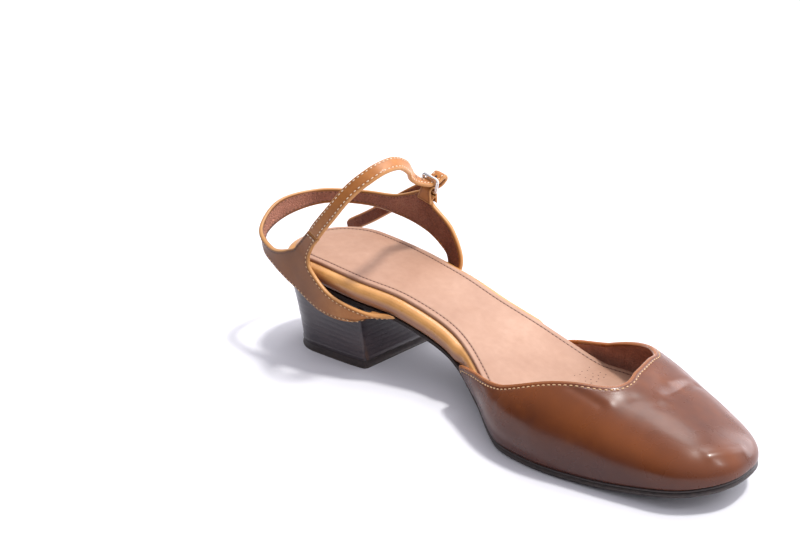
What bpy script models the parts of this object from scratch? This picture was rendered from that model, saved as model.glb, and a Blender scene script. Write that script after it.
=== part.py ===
"""Left slingback sandal on a low stacked heel.

Frame: +X towards the toe, +Y to the outer side of the foot, +Z up.
The origin lies on the floor under the middle of the heel.
"""

import bpy
import numpy as np

# Sole, in metres
SOLE_LENGTH = 0.256
BALL_WIDTH = 0.0816
HEEL_WIDTH = 0.0577
HEEL_CENTRE = 0.031
HEEL_RISE = 0.038
TOE_SPRING = 0.0083
HEEL_ROUND = 0.027
TOE_ROUND = 0.0205
OUTSOLE_THICKNESS = 0.0034
WAIST_THICKNESS = 0.0019
WAIST_SETBACK = 0.0008

# Heel
HEEL_LENGTH = 0.065
LIFT_THICKNESS = 0.0035
HEEL_SETBACK = 0.0010

# Footbed and sock
FOOTBED_THICKNESS = 0.0085
FOREPART_THICKNESS = 0.0045
RIM_ROUND = 0.0026
SOCK_THICKNESS = 0.0014
SOCK_INSET = 0.0045
TOE_SETBACK = 0.0040

# Vamp
VAMP_WALL = 0.0018
VAMP_HEIGHT = 0.0350

# Straps and buckle
SLING_THICKNESS = 0.0024
SLING_RISE = 0.052
STRAP_WIDTH = 0.0074
STRAP_THICKNESS = 0.0022
TAB_THICKNESS = 0.0012
TAB_WIDTH = 0.0100
BUCKLE_WIRE = 0.0018
BUCKLE_HEIGHT = 0.0068

CLEARANCE = 0.0003
TOE_END = SOLE_LENGTH - HEEL_CENTRE

# Plan of the sole: share of the length from the back, then the inner and
# the outer edge as shares of the width there.
OUTLINE = {
    "at":    (0.00, 0.06, 0.15, 0.25, 0.35, 0.45, 0.55, 0.65, 0.72, 0.80, 0.88, 0.95, 1.00),
    "inner": (0.47, 0.50, 0.49, 0.45, 0.33, 0.24, 0.32, 0.48, 0.50, 0.47, 0.42, 0.36, 0.30),
    "outer": (0.47, 0.49, 0.50, 0.51, 0.50, 0.46, 0.46, 0.50, 0.50, 0.44, 0.33, 0.20, 0.14),
}

# Side view of the sole: shares of the heel rise and of the toe spring.
PROFILE = {
    "at":   (0.00, 0.06, 0.15, 0.25, 0.35, 0.45, 0.55, 0.64, 0.74, 0.82, 0.88, 0.95, 1.00),
    "heel": (1.00, 0.98, 0.93, 0.83, 0.68, 0.43, 0.17, 0.00, 0.00, 0.00, 0.00, 0.00, 0.00),
    "toe":  (0.00, 0.00, 0.00, 0.00, 0.00, 0.00, 0.00, 0.00, 0.00, 0.10, 0.31, 0.68, 1.00),
}

# Section of the footbed's rim: how far it is drawn in, as a share of the rim round,
# at shares of the footbed's thickness.
RIM = {
    "up":    (0.00, 0.10, 0.28, 0.52, 0.75, 0.93, 1.00),
    "inset": (1.00, 0.40, 0.10, 0.00, 0.12, 0.45, 1.00),
}

# Crown of the vamp above its feather line, as a share of the vamp height,
# and how far the wall leans out over the feather line, as shares of the ball width.
CROWN = {
    "at":     (0.45, 0.55, 0.65, 0.75, 0.80, 0.86, 0.92, 0.97, 1.00),
    "height": (0.80, 0.88, 0.96, 0.98, 0.86, 0.65, 0.48, 0.38, 0.33),
    "inner":  (0.05, 0.04, 0.03, 0.02, 0.01, 0.01, 0.01, 0.01, 0.01),
    "outer":  (0.01, 0.01, 0.01, 0.01, 0.01, 0.01, 0.01, 0.01, 0.01),
}

# Topline of the vamp: turn around the section, 0 on the inner feather line and
# 1 on the outer one, and the share of the sole length where the edge stands.
TOPLINE = {
    "turn": (0.00, 0.05, 0.16, 0.24, 0.31, 0.36, 0.45, 0.51, 0.58, 0.65, 0.72, 0.77, 0.82, 0.88, 0.94, 1.00),
    "at":   (0.50, 0.51, 0.60, 0.68, 0.75, 0.79, 0.81, 0.80, 0.79, 0.78, 0.75, 0.72, 0.67, 0.62, 0.57, 0.53),
}

# Sling strap: its lower and its upper edge, a row for each section from the
# inner side round the back to the outer side. At is a share of the sole length
# from the back, out a share of the heel width, up a share of the sling rise
# above the back of the seat.
SLING = {
    "low_at":   (0.297, 0.252, 0.184, 0.115, 0.092, 0.053, 0.008, -0.031, -0.047, -0.025, 0.055, 0.152,
                 0.225, 0.268, 0.278, 0.276, 0.273),
    "low_out":  (-0.330, -0.500, -0.555, -0.560, -0.562, -0.560, -0.511, -0.355, -0.035, 0.312, 0.534, 0.563,
                 0.563, 0.563, 0.560, 0.535, 0.500),
    "low_up":   (-0.165, -0.281, -0.250, -0.095, -0.045, 0.055, 0.150, 0.245, 0.329, 0.367, 0.346, 0.304,
                 0.215, 0.073, -0.056, -0.135, -0.165),
    "high_at":  (0.344, 0.289, 0.219, 0.170, 0.163, 0.116, 0.053, -0.016, -0.045, -0.031, 0.043, 0.133,
                 0.197, 0.243, 0.290, 0.315, 0.312),
    "high_out": (-0.355, -0.464, -0.542, -0.551, -0.548, -0.555, -0.555, -0.459, -0.147, 0.260, 0.525, 0.563,
                 0.563, 0.563, 0.565, 0.560, 0.500),
    "high_up":  (-0.195, -0.165, -0.060, 0.123, 0.229, 0.292, 0.227, 0.338, 0.512, 0.531, 0.504, 0.523,
                 0.608, 0.512, 0.319, 0.040, -0.190),
}
INNER_FORK = (4, 5)
OUTER_FORK = (12, 13)

# Inner fork of the sling strap up to its seam with the ankle strap
INNER_ARM_OUT = -0.546
INNER_ARM = {
    "front_at": (0.170, 0.182, 0.200),
    "front_up": (0.300, 0.375, 0.452),
    "back_at":  (0.135, 0.154, 0.173),
    "back_up":  (0.362, 0.442, 0.523),
}

# Ankle strap: its middle line and the way its width points, from just past the
# seam round the ankle to the buckle, then from the buckle down the outside.
ANKLE = {
    "at":    (0.204, 0.232, 0.255, 0.273, 0.289, 0.296, 0.293, 0.275, 0.253, 0.240),
    "out":   (-0.54, -0.51, -0.47, -0.41, -0.32, -0.19, -0.02, 0.16, 0.28, 0.39),
    "up":    (0.580, 0.720, 0.848, 0.951, 1.035, 1.089, 1.087, 0.993, 0.892, 0.800),
    "lie_x": (-0.83, -0.78, -0.74, -0.74, -0.78, -0.85, -0.75, -0.55, -0.46, -0.75),
    "lie_y": (0.03, 0.08, 0.16, 0.20, 0.15, 0.00, 0.05, 0.30, 0.39, 0.25),
    "lie_z": (0.55, 0.62, 0.65, 0.64, 0.60, 0.52, 0.65, 0.75, 0.76, 0.55),
}
TAIL = {
    "at":    (0.239, 0.237, 0.230, 0.205, 0.160, 0.094, 0.030, -0.045),
    "out":   (0.68, 0.71, 0.69, 0.65, 0.64, 0.64, 0.64, 0.62),
    "up":    (0.765, 0.740, 0.695, 0.622, 0.512, 0.344, 0.178, 0.005),
    "lie_x": (-0.96, -0.96, -0.85, -0.60, -0.48, -0.46, -0.46, -0.46),
    "lie_y": (0.00, 0.00, 0.00, 0.00, 0.00, 0.00, 0.00, 0.00),
    "lie_z": (0.27, 0.27, 0.50, 0.80, 0.88, 0.89, 0.89, 0.89),
}

# Buckle: middle of its lower bar, and its tilt towards the toe
BUCKLE_AT = 0.233
BUCKLE_OUT = 0.563
BUCKLE_UP = 0.648
BUCKLE_TILT = 0.27

MATERIALS = {
    "vamp_leather": ((0.19, 0.065, 0.025), 0.28, 0.0),
    "strap_leather": ((0.42, 0.22, 0.08), 0.38, 0.0),
    "rim_leather": ((0.55, 0.30, 0.09), 0.32, 0.0),
    "sock_leather": ((0.60, 0.36, 0.24), 0.50, 0.0),
    "sole_rubber": ((0.035, 0.025, 0.022), 0.55, 0.0),
    "heel_stack": ((0.045, 0.032, 0.032), 0.40, 0.0),
    "buckle_metal": ((0.78, 0.77, 0.75), 0.18, 1.0),
}


def clear_scene():
    """Remove whatever objects the file holds."""
    for thing in list(bpy.data.objects):
        bpy.data.objects.remove(thing, do_unlink=True)


def material(name):
    """A plain Principled material with the colour of its real finish."""
    colour, roughness, metallic = MATERIALS[name]
    made = bpy.data.materials.get(name) or bpy.data.materials.new(name)
    made.use_nodes = True
    shader = made.node_tree.nodes["Principled BSDF"]
    shader.inputs["Base Color"].default_value = (*colour, 1.0)
    shader.inputs["Roughness"].default_value = roughness
    shader.inputs["Metallic"].default_value = metallic
    return made


def solid(name, points, faces, finish):
    """One named object from points and faces."""
    mesh = bpy.data.meshes.new(name)
    mesh.from_pydata([tuple(map(float, p)) for p in points], [], [tuple(map(int, f)) for f in faces])
    mesh.validate()
    mesh.shade_smooth()
    mesh.materials.append(material(finish))
    made = bpy.data.objects.new(name, mesh)
    bpy.context.scene.collection.objects.link(made)
    return made


def through(stations, values, at):
    """Smooth curve through table rows: cubic pieces whose slopes come from the neighbours."""
    xs = np.asarray(stations, float)
    ys = np.asarray(values, float)
    slope = np.gradient(ys, xs, axis=0)
    at = np.clip(np.asarray(at, float), xs[0], xs[-1])
    row = np.clip(np.searchsorted(xs, at, side="right") - 1, 0, len(xs) - 2)
    step = xs[row + 1] - xs[row]
    t = (at - xs[row]) / step
    if ys.ndim > 1:
        t = t[..., None]
        step = step[..., None]
    start = (1 + 2 * t) * (1 - t) ** 2 * ys[row] + t * (1 - t) ** 2 * step * slope[row]
    end = t ** 2 * (3 - 2 * t) * ys[row + 1] - t ** 2 * (1 - t) * step * slope[row + 1]
    return start + end


def ease(value, low, high):
    """0 below low, 1 above high, and a smooth step between."""
    t = np.clip((np.asarray(value, float) - low) / (high - low), 0, 1)
    return t * t * (3 - 2 * t)


def share(x):
    """Place along the sole as a share of its length."""
    return (np.asarray(x, float) + HEEL_CENTRE) / SOLE_LENGTH


def place(at):
    """X of a share of the sole length."""
    return np.asarray(at, float) * SOLE_LENGTH - HEEL_CENTRE


def seat(x):
    """Height of the upper face of the outsole."""
    at = share(x)
    heel = np.maximum(through(PROFILE["at"], PROFILE["heel"], at), 0.0)
    toe = np.maximum(through(PROFILE["at"], PROFILE["toe"], at), 0.0)
    return OUTSOLE_THICKNESS + HEEL_RISE * heel + TOE_SPRING * toe


def waist(x):
    """1 under the heel and the waist, 0 under the forepart."""
    return 1 - ease(share(x), 0.45, 0.60)


def sole_thickness(x):
    """Thickness of the outsole, thinner under the waist and the heel seat."""
    return OUTSOLE_THICKNESS + (WAIST_THICKNESS - OUTSOLE_THICKNESS) * waist(x)


def width(at):
    """Width that the outline's shares refer to: heel width, then ball width."""
    return HEEL_WIDTH + (BALL_WIDTH - HEEL_WIDTH) * ease(at, 0.30, 0.60)


def edges(x, inset, inner_tuck=0.0, outer_tuck=0.0, toe_tuck=0.0):
    """Y of the inner and the outer edge of the plan at x, drawn in by an inset."""
    at = share(x)
    inner = through(OUTLINE["at"], OUTLINE["inner"], at) * width(at) - inset - inner_tuck
    outer = through(OUTLINE["at"], OUTLINE["outer"], at) * width(at) - inset - outer_tuck
    heel = np.clip((x + HEEL_CENTRE - inset) / HEEL_ROUND, 0, 1)
    toe = np.clip((TOE_END - inset - toe_tuck - x) / TOE_ROUND, 0, 1)
    round_off = (1 - (1 - heel) ** 2.1) ** (1 / 2.1) * (1 - (1 - toe) ** 2.6) ** (1 / 2.6)
    middle = (outer - inner) / 2
    half = (outer + inner) / 2 * round_off
    return middle - half, middle + half


def plan_ring(inset, count, tuck=None, toe_tuck=0.0):
    """Closed loop round the sole in plan: outer side from heel to toe, then the inner side back."""
    turn = (1 - np.cos(np.pi * np.arange(count + 1) / count)) / 2
    x = -HEEL_CENTRE + inset + (SOLE_LENGTH - 2 * inset - toe_tuck) * turn
    inner_tuck, outer_tuck = tuck(x) if tuck else (0.0, 0.0)
    inner, outer = edges(x, inset, inner_tuck, outer_tuck, toe_tuck)
    xs = np.concatenate([x, x[-2:0:-1]])
    ys = np.concatenate([outer, inner[-2:0:-1]])
    return xs, ys


def ring_solid(name, rings, finish):
    """Closed solid from rings of equal count, from the bottom ring to the top one.

    Each ring runs outer side first from heel to toe. The two ends are closed
    by strips that join each outer point to the inner point across from it.
    """
    size = len(rings[0])
    half = size // 2
    points = np.vstack(rings)
    faces = []
    for level in range(len(rings) - 1):
        low = level * size
        high = low + size
        for k in range(size):
            after = (k + 1) % size
            faces.append((low + after, low + k, high + k, high + after))
    top = (len(rings) - 1) * size
    for start, flip in ((0, False), (top, True)):
        strip = [(start, start + 1, start + size - 1)]
        for k in range(1, half - 1):
            strip.append((start + k, start + k + 1, start + size - k - 1, start + size - k))
        strip.append((start + half - 1, start + half, start + half + 1))
        faces.extend(tuple(reversed(f)) if flip else f for f in strip)
    return solid(name, points, faces, finish)


def make_outsole():
    """Thin rubber sole with the last's outline, arch and toe spring."""
    def tuck(x):
        return WAIST_SETBACK * waist(x), WAIST_SETBACK * waist(x)

    rings = []
    for inset, up in ((0.0012, 0.0), (0.0003, 0.25), (0.0, 0.6), (0.0, 1.0)):
        xs, ys = plan_ring(inset, 56, tuck)
        rings.append(np.stack([xs, ys, seat(xs) - sole_thickness(xs) * (1 - up)], axis=1))
    return ring_solid("outsole", rings, "sole_rubber")


def inside_vamp(x):
    """How far the footbed is drawn in to leave room for the vamp's wall, on each side."""
    room = VAMP_WALL + CLEARANCE
    start_inner = TOPLINE["at"][0]
    start_outer = TOPLINE["at"][-1]
    return room * ease(share(x), start_inner - 0.030, start_inner - 0.008), \
        room * ease(share(x), start_outer - 0.030, start_outer - 0.008)


def footbed_thickness(x):
    """Thick under the heel and the arch, thin under the toes."""
    return FOREPART_THICKNESS + (FOOTBED_THICKNESS - FOREPART_THICKNESS) * (1 - ease(share(x), 0.50, 0.66))


def footbed_top(x):
    return seat(x) + CLEARANCE + footbed_thickness(x)


def make_footbed():
    """Leather-wrapped board with a rounded rim, drawn in where the vamp wraps it."""
    rings = []
    for inset, up in zip(RIM["inset"], RIM["up"]):
        xs, ys = plan_ring(inset * RIM_ROUND, 48, inside_vamp, VAMP_WALL + TOE_SETBACK)
        rings.append(np.stack([xs, ys, seat(xs) + CLEARANCE + footbed_thickness(xs) * up], axis=1))
    return ring_solid("footbed", rings, "rim_leather")


def make_sock():
    """Thin leather insole that lies on the footbed inside its rim."""
    rings = []
    for inset, up in ((0.0, 0.0), (0.0, 0.6), (0.0006, 1.0)):
        xs, ys = plan_ring(SOCK_INSET + inset, 40, None, TOE_SETBACK)
        rings.append(np.stack([xs, ys, footbed_top(xs) + CLEARANCE + SOCK_THICKNESS * up], axis=1))
    return ring_solid("sock", rings, "sock_leather")


def heel_ring(taper, count=18):
    """Plan of the heel: the back of the sole, cut off by the flat front face.

    The loop runs along the outer side from back to front, then the inner side.
    """
    back = -HEEL_CENTRE + HEEL_SETBACK
    front = back + HEEL_LENGTH
    turn = 1 - np.cos(np.pi / 2 * np.arange(count + 1) / count)
    x = back + (front - back) * turn
    inner, outer = edges(x, HEEL_SETBACK)
    xs = np.concatenate([x, [front], x[-1:0:-1]])
    ys = np.concatenate([outer, [(inner[-1] + outer[-1]) / 2], inner[-1:0:-1]])
    return front - (front - xs) * taper, ys * taper, xs


def make_heel():
    """Stacked block that narrows a little towards the floor."""
    rings = []
    for up in (0.0, 0.25, 0.5, 0.75, 1.0):
        taper = 0.93 + 0.07 * up ** 1.6
        xs, ys, under = heel_ring(taper)
        top = seat(under) - sole_thickness(under) - CLEARANCE
        bottom = LIFT_THICKNESS + CLEARANCE
        rings.append(np.stack([xs, ys, bottom + (top - bottom) * up], axis=1))
    return ring_solid("heel", rings, "heel_stack")


def make_top_lift():
    """Cap under the heel, flat on the floor."""
    rings = []
    for taper, up in ((0.925, 0.0), (0.93, 0.2), (0.93, 1.0)):
        xs, ys, under = heel_ring(taper)
        rings.append(np.stack([xs, ys, np.full_like(xs, LIFT_THICKNESS * up)], axis=1))
    return ring_solid("top_lift", rings, "sole_rubber")


def vamp_point(x, turn, inset):
    """Point of the vamp's section at x.

    Turn runs from 0 on the inner feather line over the crown to 1 on the outer
    one. The section is a superellipse whose walls lean out a little low down.
    """
    inner, outer = edges(x, inset)
    at = share(x)
    toe = np.clip((TOE_END - inset - x) / (TOE_ROUND * 1.4), 0, 1)
    crown = VAMP_HEIGHT * through(CROWN["at"], CROWN["height"], at) - inset
    crown = crown * (1 - (1 - toe) ** 2.3) ** (1 / 2.3)
    angle = np.pi * turn
    across = -np.sign(np.cos(angle)) * np.abs(np.cos(angle)) ** (2 / 2.5)
    up = np.abs(np.sin(angle)) ** (2 / 2.5)
    lean = np.where(across < 0, through(CROWN["at"], CROWN["inner"], at), through(CROWN["at"], CROWN["outer"], at))
    lean = lean * BALL_WIDTH * np.sin(np.pi * up) * (1 - up) * 1.7 * np.minimum(toe * 2, 1)
    y = (inner + outer) / 2 + (outer - inner) / 2 * across + np.sign(across) * lean
    z = seat(x) + CLEARANCE + crown * up * (1 - 0.08 * across)
    return np.stack([x, y, z], axis=-1)


def vamp_shell(inset, along, around):
    """Grid of the vamp from its topline to the toe, and the toe's last point."""
    turn = np.linspace(0, 1, around + 1)
    start = place(through(TOPLINE["turn"], TOPLINE["at"], turn))
    end = TOE_END - inset
    fade = (1 - np.arange(along) / along)[:, None] ** 1.7
    x = end - (end - start)[None, :] * fade
    grid = vamp_point(x, np.broadcast_to(turn, x.shape), inset)
    tip_in, tip_out = edges(np.array(end), inset)
    tip = np.array([end, float(tip_in + tip_out) / 2, float(seat(end)) + CLEARANCE])
    return grid, tip


def make_vamp():
    """Closed toe and vamp as one hollow shell, open at the throat and underneath."""
    along, around = 24, 34
    outer, outer_tip = vamp_shell(0.0, along, around)
    inner, inner_tip = vamp_shell(VAMP_WALL, along, around)
    count = along * (around + 1)
    points = np.vstack([outer.reshape(-1, 3), [outer_tip], inner.reshape(-1, 3), [inner_tip]])
    faces = []

    def node(side, row, column):
        base = side * (count + 1)
        return base + (count if row == along else row * (around + 1) + column)

    for row in range(along):
        for column in range(around):
            for side in (0, 1):
                loop = [node(side, row, column), node(side, row + 1, column),
                        node(side, row + 1, column + 1), node(side, row, column + 1)]
                if row == along - 1:
                    loop.pop(2)
                faces.append(tuple(reversed(loop)) if side else tuple(loop))
    for column in range(around):
        faces.append((node(0, 0, column), node(0, 0, column + 1), node(1, 0, column + 1), node(1, 0, column)))
    for row in range(along):
        faces.append((node(0, row + 1, 0), node(0, row, 0), node(1, row, 0), node(1, row + 1, 0)))
        faces.append((node(0, row, around), node(0, row + 1, around),
                      node(1, row + 1, around), node(1, row, around)))
    return solid("vamp", points, faces, "vamp_leather")


def thick_sheet(name, points, quads, thickness, finish):
    """Closed solid from an open sheet of quads, with half its thickness on either side."""
    points = np.asarray(points, float)
    quads = np.asarray(quads, int)
    corner = points[quads]
    facing = np.cross(corner[:, 2] - corner[:, 0], corner[:, 3] - corner[:, 1])
    normal = np.zeros_like(points)
    for k in range(4):
        np.add.at(normal, quads[:, k], facing)
    normal /= np.linalg.norm(normal, axis=1)[:, None]
    count = len(points)
    both = np.vstack([points + normal * thickness / 2, points - normal * thickness / 2])
    faces = [tuple(q) for q in quads] + [tuple(count + k for k in reversed(q)) for q in quads]
    used = set()
    for quad in quads:
        for k in range(4):
            used.add((quad[k], quad[(k + 1) % 4]))
    for start, end in sorted(used):
        if (end, start) not in used:
            faces.append((end, start, start + count, end + count))
    return solid(name, both, faces, finish)


def seat_back():
    """Height of the back of the seat, which the straps are measured from."""
    return OUTSOLE_THICKNESS + HEEL_RISE


def strap_point(at, out, up):
    """Point of a strap from its shares."""
    return np.stack([place(at), np.asarray(out) * HEEL_WIDTH, seat_back() + np.asarray(up) * SLING_RISE], axis=-1)


def outside_rim(points):
    """Lay a strap against the rim and the sole's edge where its rows would reach into them."""
    x, y, z = points[..., 0], points[..., 1], points[..., 2]
    up = (z - seat(x) - CLEARANCE) / footbed_thickness(x)
    inset = np.interp(up, RIM["up"], RIM["inset"]) * RIM_ROUND
    inset = np.where(up < RIM["up"][3], np.minimum(inset, WAIST_SETBACK), inset)
    inner, outer = edges(x, inset)
    room = SLING_THICKNESS / 2 + CLEARANCE
    beside = z < footbed_top(x) + room
    pushed = np.where(y < 0, np.minimum(y, inner - room), np.maximum(y, outer + room))
    return np.stack([x, np.where(beside, pushed, y), z], axis=-1)


def make_sling():
    """Forked side pieces and back strap in one: a band with two arms on its upper edge."""
    rows = np.arange(len(SLING["low_at"]))
    between = 3
    fine = np.linspace(0, rows[-1], rows[-1] * between + 1)
    low = through(rows, strap_point(SLING["low_at"], SLING["low_out"], SLING["low_up"]), fine)
    high = through(rows, strap_point(SLING["high_at"], SLING["high_out"], SLING["high_up"]), fine)
    up = np.linspace(0, 1, 8)
    band = low[:, None] + (high - low)[:, None] * up[None, :, None]
    band = outside_rim(band)
    columns, levels = band.shape[:2]
    points = list(band.reshape(-1, 3))
    quads = []
    for column in range(columns - 1):
        for level in range(levels - 1):
            a = column * levels + level
            quads.append((a, a + levels, a + levels + 1, a + 1))
    quads.extend(arm_quads(points, levels, between, INNER_FORK, inner_arm_rows()))
    quads.extend(arm_quads(points, levels, between, OUTER_FORK, outer_arm_rows()))
    return thick_sheet("sling_strap", points, [q[::-1] for q in quads], SLING_THICKNESS, "strap_leather")


def arm_quads(points, levels, between, fork, rows):
    """Add an arm to the band's points, between two of its sections, and return its quads."""
    first, last = fork[0] * between, fork[1] * between
    below = [column * levels + levels - 1 for column in range(first, last + 1)]
    quads = []
    for start, end in rows:
        above = []
        for k in range(len(below)):
            points.append(start + (end - start) * k / (len(below) - 1))
            above.append(len(points) - 1)
        for k in range(len(below) - 1):
            quads.append((below[k], below[k + 1], above[k + 1], above[k]))
        below = above
    return quads


def inner_arm_rows():
    """Rows of the inner arm, front edge first."""
    out = np.full(3, INNER_ARM_OUT)
    front = strap_point(INNER_ARM["front_at"], out, INNER_ARM["front_up"])
    back = strap_point(INNER_ARM["back_at"], out, INNER_ARM["back_up"])
    return list(zip(front, back))


def buckle_axes():
    """Middle of the buckle's lower bar, its forward and its upward direction."""
    middle = strap_point(BUCKLE_AT, BUCKLE_OUT, BUCKLE_UP)
    forward = np.array([np.sqrt(1 - BUCKLE_TILT ** 2), 0.0, -BUCKLE_TILT])
    upward = np.array([BUCKLE_TILT, 0.0, np.sqrt(1 - BUCKLE_TILT ** 2)])
    return middle, forward, upward


def tab_reach():
    """Outer face of the tab from the middle of the bar it wraps."""
    return SLING_THICKNESS / 2 + CLEARANCE + TAB_THICKNESS


def outer_arm_rows():
    """End of the outer arm, which stops just below the buckle's bar, back edge first."""
    middle, forward, upward = buckle_axes()
    end = middle - upward * (BUCKLE_WIRE / 2 + 0.0012)
    half = forward * TAB_WIDTH / 2
    return [(end - half, end + half)]


def strap_stations(table):
    """Points of a strap's middle line."""
    return strap_point(table["at"], table["out"], table["up"])


def strap_lies(table):
    """Directions of a strap's width."""
    return np.stack([table["lie_x"], table["lie_y"], table["lie_z"]], axis=1)


def make_ankle_strap():
    """Buckled strap: from the seam round the ankle, through the buckle and down the outside."""
    front, back = inner_arm_rows()[-1]
    seam_lie = (back - front) / np.linalg.norm(back - front)
    seam = (front + back) / 2 + np.array([seam_lie[2], 0.0, -seam_lie[0]]) * 1.5 * CLEARANCE
    middle, forward, upward = buckle_axes()
    opening = middle + upward * (tab_reach() + BUCKLE_HEIGHT - BUCKLE_WIRE / 2) / 2
    passing = opening + np.array([[0.0, -0.0030, 0.0], [0.0, 0.0, 0.0], [0.0, 0.0030, 0.0]])
    stations = np.vstack([seam, strap_stations(ANKLE), passing, strap_stations(TAIL)])
    lies = np.vstack([seam_lie, strap_lies(ANKLE), np.tile(-forward, (3, 1)), strap_lies(TAIL)])
    rows = np.arange(len(stations))
    fine = np.linspace(0, rows[-1], rows[-1] * 3 + 1)
    middle = through(rows, stations, fine)
    lie = through(rows, lies, fine)
    travel = np.gradient(middle, axis=0)
    travel /= np.linalg.norm(travel, axis=1)[:, None]
    lie -= travel * np.sum(lie * travel, axis=1)[:, None]
    lie /= np.linalg.norm(lie, axis=1)[:, None]
    lie[0] = seam_lie
    side = np.array([-0.5, 0.0, 0.5])
    grid = middle[:, None] + lie[:, None] * side[None, :, None] * STRAP_WIDTH
    quads = []
    for row in range(len(fine) - 1):
        for k in range(len(side) - 1):
            a = row * len(side) + k
            quads.append((a, a + 1, a + len(side) + 1, a + len(side)))
    return thick_sheet("ankle_strap", grid.reshape(-1, 3), quads, STRAP_THICKNESS, "strap_leather")


def make_buckle():
    """Bright wire frame: a rectangle with round corners, its lower bar held by the tab."""
    middle, forward, upward = buckle_axes()
    half_width = STRAP_WIDTH / 2 + CLEARANCE + BUCKLE_WIRE / 2
    corner = 0.0016
    centre = middle + upward * BUCKLE_HEIGHT / 2
    half_height = BUCKLE_HEIGHT / 2
    path = []
    for quarter, (sx, sz) in enumerate(((1, 1), (-1, 1), (-1, -1), (1, -1))):
        for step in range(4):
            angle = np.pi / 2 * (quarter + step / 3)
            path.append(centre + forward * (sx * (half_width - corner) + corner * np.cos(angle))
                        + upward * (sz * (half_height - corner) + corner * np.sin(angle)))
    curve = bpy.data.curves.new("buckle_frame", "CURVE")
    curve.dimensions = "3D"
    curve.bevel_depth = BUCKLE_WIRE / 2
    curve.bevel_resolution = 1
    spline = curve.splines.new("POLY")
    spline.points.add(len(path) - 1)
    for point, where in zip(spline.points, path):
        point.co = (*where, 1.0)
    spline.use_cyclic_u = True
    curve.materials.append(material("buckle_metal"))
    made = bpy.data.objects.new("buckle_frame", curve)
    bpy.context.scene.collection.objects.link(made)
    return made


def make_tab():
    """Folded leather loop round the buckle's lower bar, with a leg on either face of the arm."""
    middle, forward, upward = buckle_axes()
    outward = np.array([0.0, 1.0, 0.0])
    radius = tab_reach() - TAB_THICKNESS / 2
    leg = 0.0062
    profile = [(-radius, -leg), (-radius, -leg / 2), (-radius, 0.0)]
    for step in range(1, 6):
        angle = np.pi - np.pi * step / 6
        profile.append((radius * np.cos(angle), radius * np.sin(angle)))
    profile += [(radius, 0.0), (radius, -leg / 2), (radius, -leg)]
    narrow = STRAP_WIDTH - 2 * CLEARANCE
    points = []
    for out, up in profile:
        spread = narrow + (TAB_WIDTH - narrow) * max(-up, 0.0) / leg
        for side in np.array([-0.5, 0.0, 0.5]) * spread:
            points.append(middle + outward * out + upward * up + forward * side)
    quads = []
    for row in range(len(profile) - 1):
        for k in range(2):
            a = row * 3 + k
            quads.append((a, a + 1, a + 4, a + 3))
    return thick_sheet("buckle_tab", points, quads, TAB_THICKNESS, "strap_leather")


def main():
    clear_scene()
    make_outsole()
    make_heel()
    make_top_lift()
    make_footbed()
    make_sock()
    make_vamp()
    make_sling()
    make_ankle_strap()
    make_buckle()
    make_tab()


main()
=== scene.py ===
# %% [markdown]
# # A slingback sandal, built as a shoemaker would put it together
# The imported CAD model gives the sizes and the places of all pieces. This script dresses it: each piece
# of leather, rubber, thread and metal is worked out again as a fine surface, with numpy, over its solid.
# Frame: +X towards the toe, +Y towards the outer side of the foot, +Z up, in metres.

import bpy
import numpy as np
from mathutils import Matrix


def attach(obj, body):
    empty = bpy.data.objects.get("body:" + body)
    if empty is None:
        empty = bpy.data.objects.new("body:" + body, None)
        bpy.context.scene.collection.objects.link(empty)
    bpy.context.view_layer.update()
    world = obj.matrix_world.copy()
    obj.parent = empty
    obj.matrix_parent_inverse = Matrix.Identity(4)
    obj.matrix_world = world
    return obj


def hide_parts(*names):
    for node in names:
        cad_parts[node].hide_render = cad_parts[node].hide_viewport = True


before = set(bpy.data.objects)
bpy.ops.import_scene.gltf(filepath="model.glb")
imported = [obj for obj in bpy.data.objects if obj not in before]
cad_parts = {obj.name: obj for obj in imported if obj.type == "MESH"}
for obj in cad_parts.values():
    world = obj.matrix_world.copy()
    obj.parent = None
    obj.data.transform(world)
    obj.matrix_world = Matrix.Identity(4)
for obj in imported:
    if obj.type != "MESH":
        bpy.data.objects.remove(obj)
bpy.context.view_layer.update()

# %% [markdown]
# ## The last
# A shoe is built round a last, the wooden form of a foot. Its plan and its side view are all that the
# sole, the footbed and the sock need, so they are kept as two short tables of shares, and smooth curves
# are drawn through their rows. Cubic pieces with slopes from the neighbouring rows are used, because
# they pass through every row and have no corners.

# %% Named sizes of the last
SOLE_LENGTH = 0.256
BALL_WIDTH = 0.0816
HEEL_WIDTH = 0.0577
HEEL_CENTRE = 0.031
HEEL_RISE = 0.038
TOE_SPRING = 0.0083
HEEL_ROUND = 0.027
TOE_ROUND = 0.0205
SOLE_THICKNESS = 0.0034
WAIST_THICKNESS = 0.0019
WAIST_SETBACK = 0.0008
CLEARANCE = 0.0003
TOE_END = SOLE_LENGTH - HEEL_CENTRE

PLAN = {
    "at":    (0.00, 0.06, 0.15, 0.25, 0.35, 0.45, 0.55, 0.65, 0.72, 0.80, 0.88, 0.95, 1.00),
    "inner": (0.47, 0.50, 0.49, 0.45, 0.33, 0.24, 0.32, 0.48, 0.50, 0.47, 0.42, 0.36, 0.30),
    "outer": (0.47, 0.49, 0.50, 0.51, 0.50, 0.46, 0.46, 0.50, 0.50, 0.44, 0.33, 0.20, 0.14),
}
SIDE_VIEW = {
    "at":   (0.00, 0.06, 0.15, 0.25, 0.35, 0.45, 0.55, 0.64, 0.74, 0.82, 0.88, 0.95, 1.00),
    "heel": (1.00, 0.98, 0.93, 0.83, 0.68, 0.43, 0.17, 0.00, 0.00, 0.00, 0.00, 0.00, 0.00),
    "toe":  (0.00, 0.00, 0.00, 0.00, 0.00, 0.00, 0.00, 0.00, 0.00, 0.10, 0.31, 0.68, 1.00),
}


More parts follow.
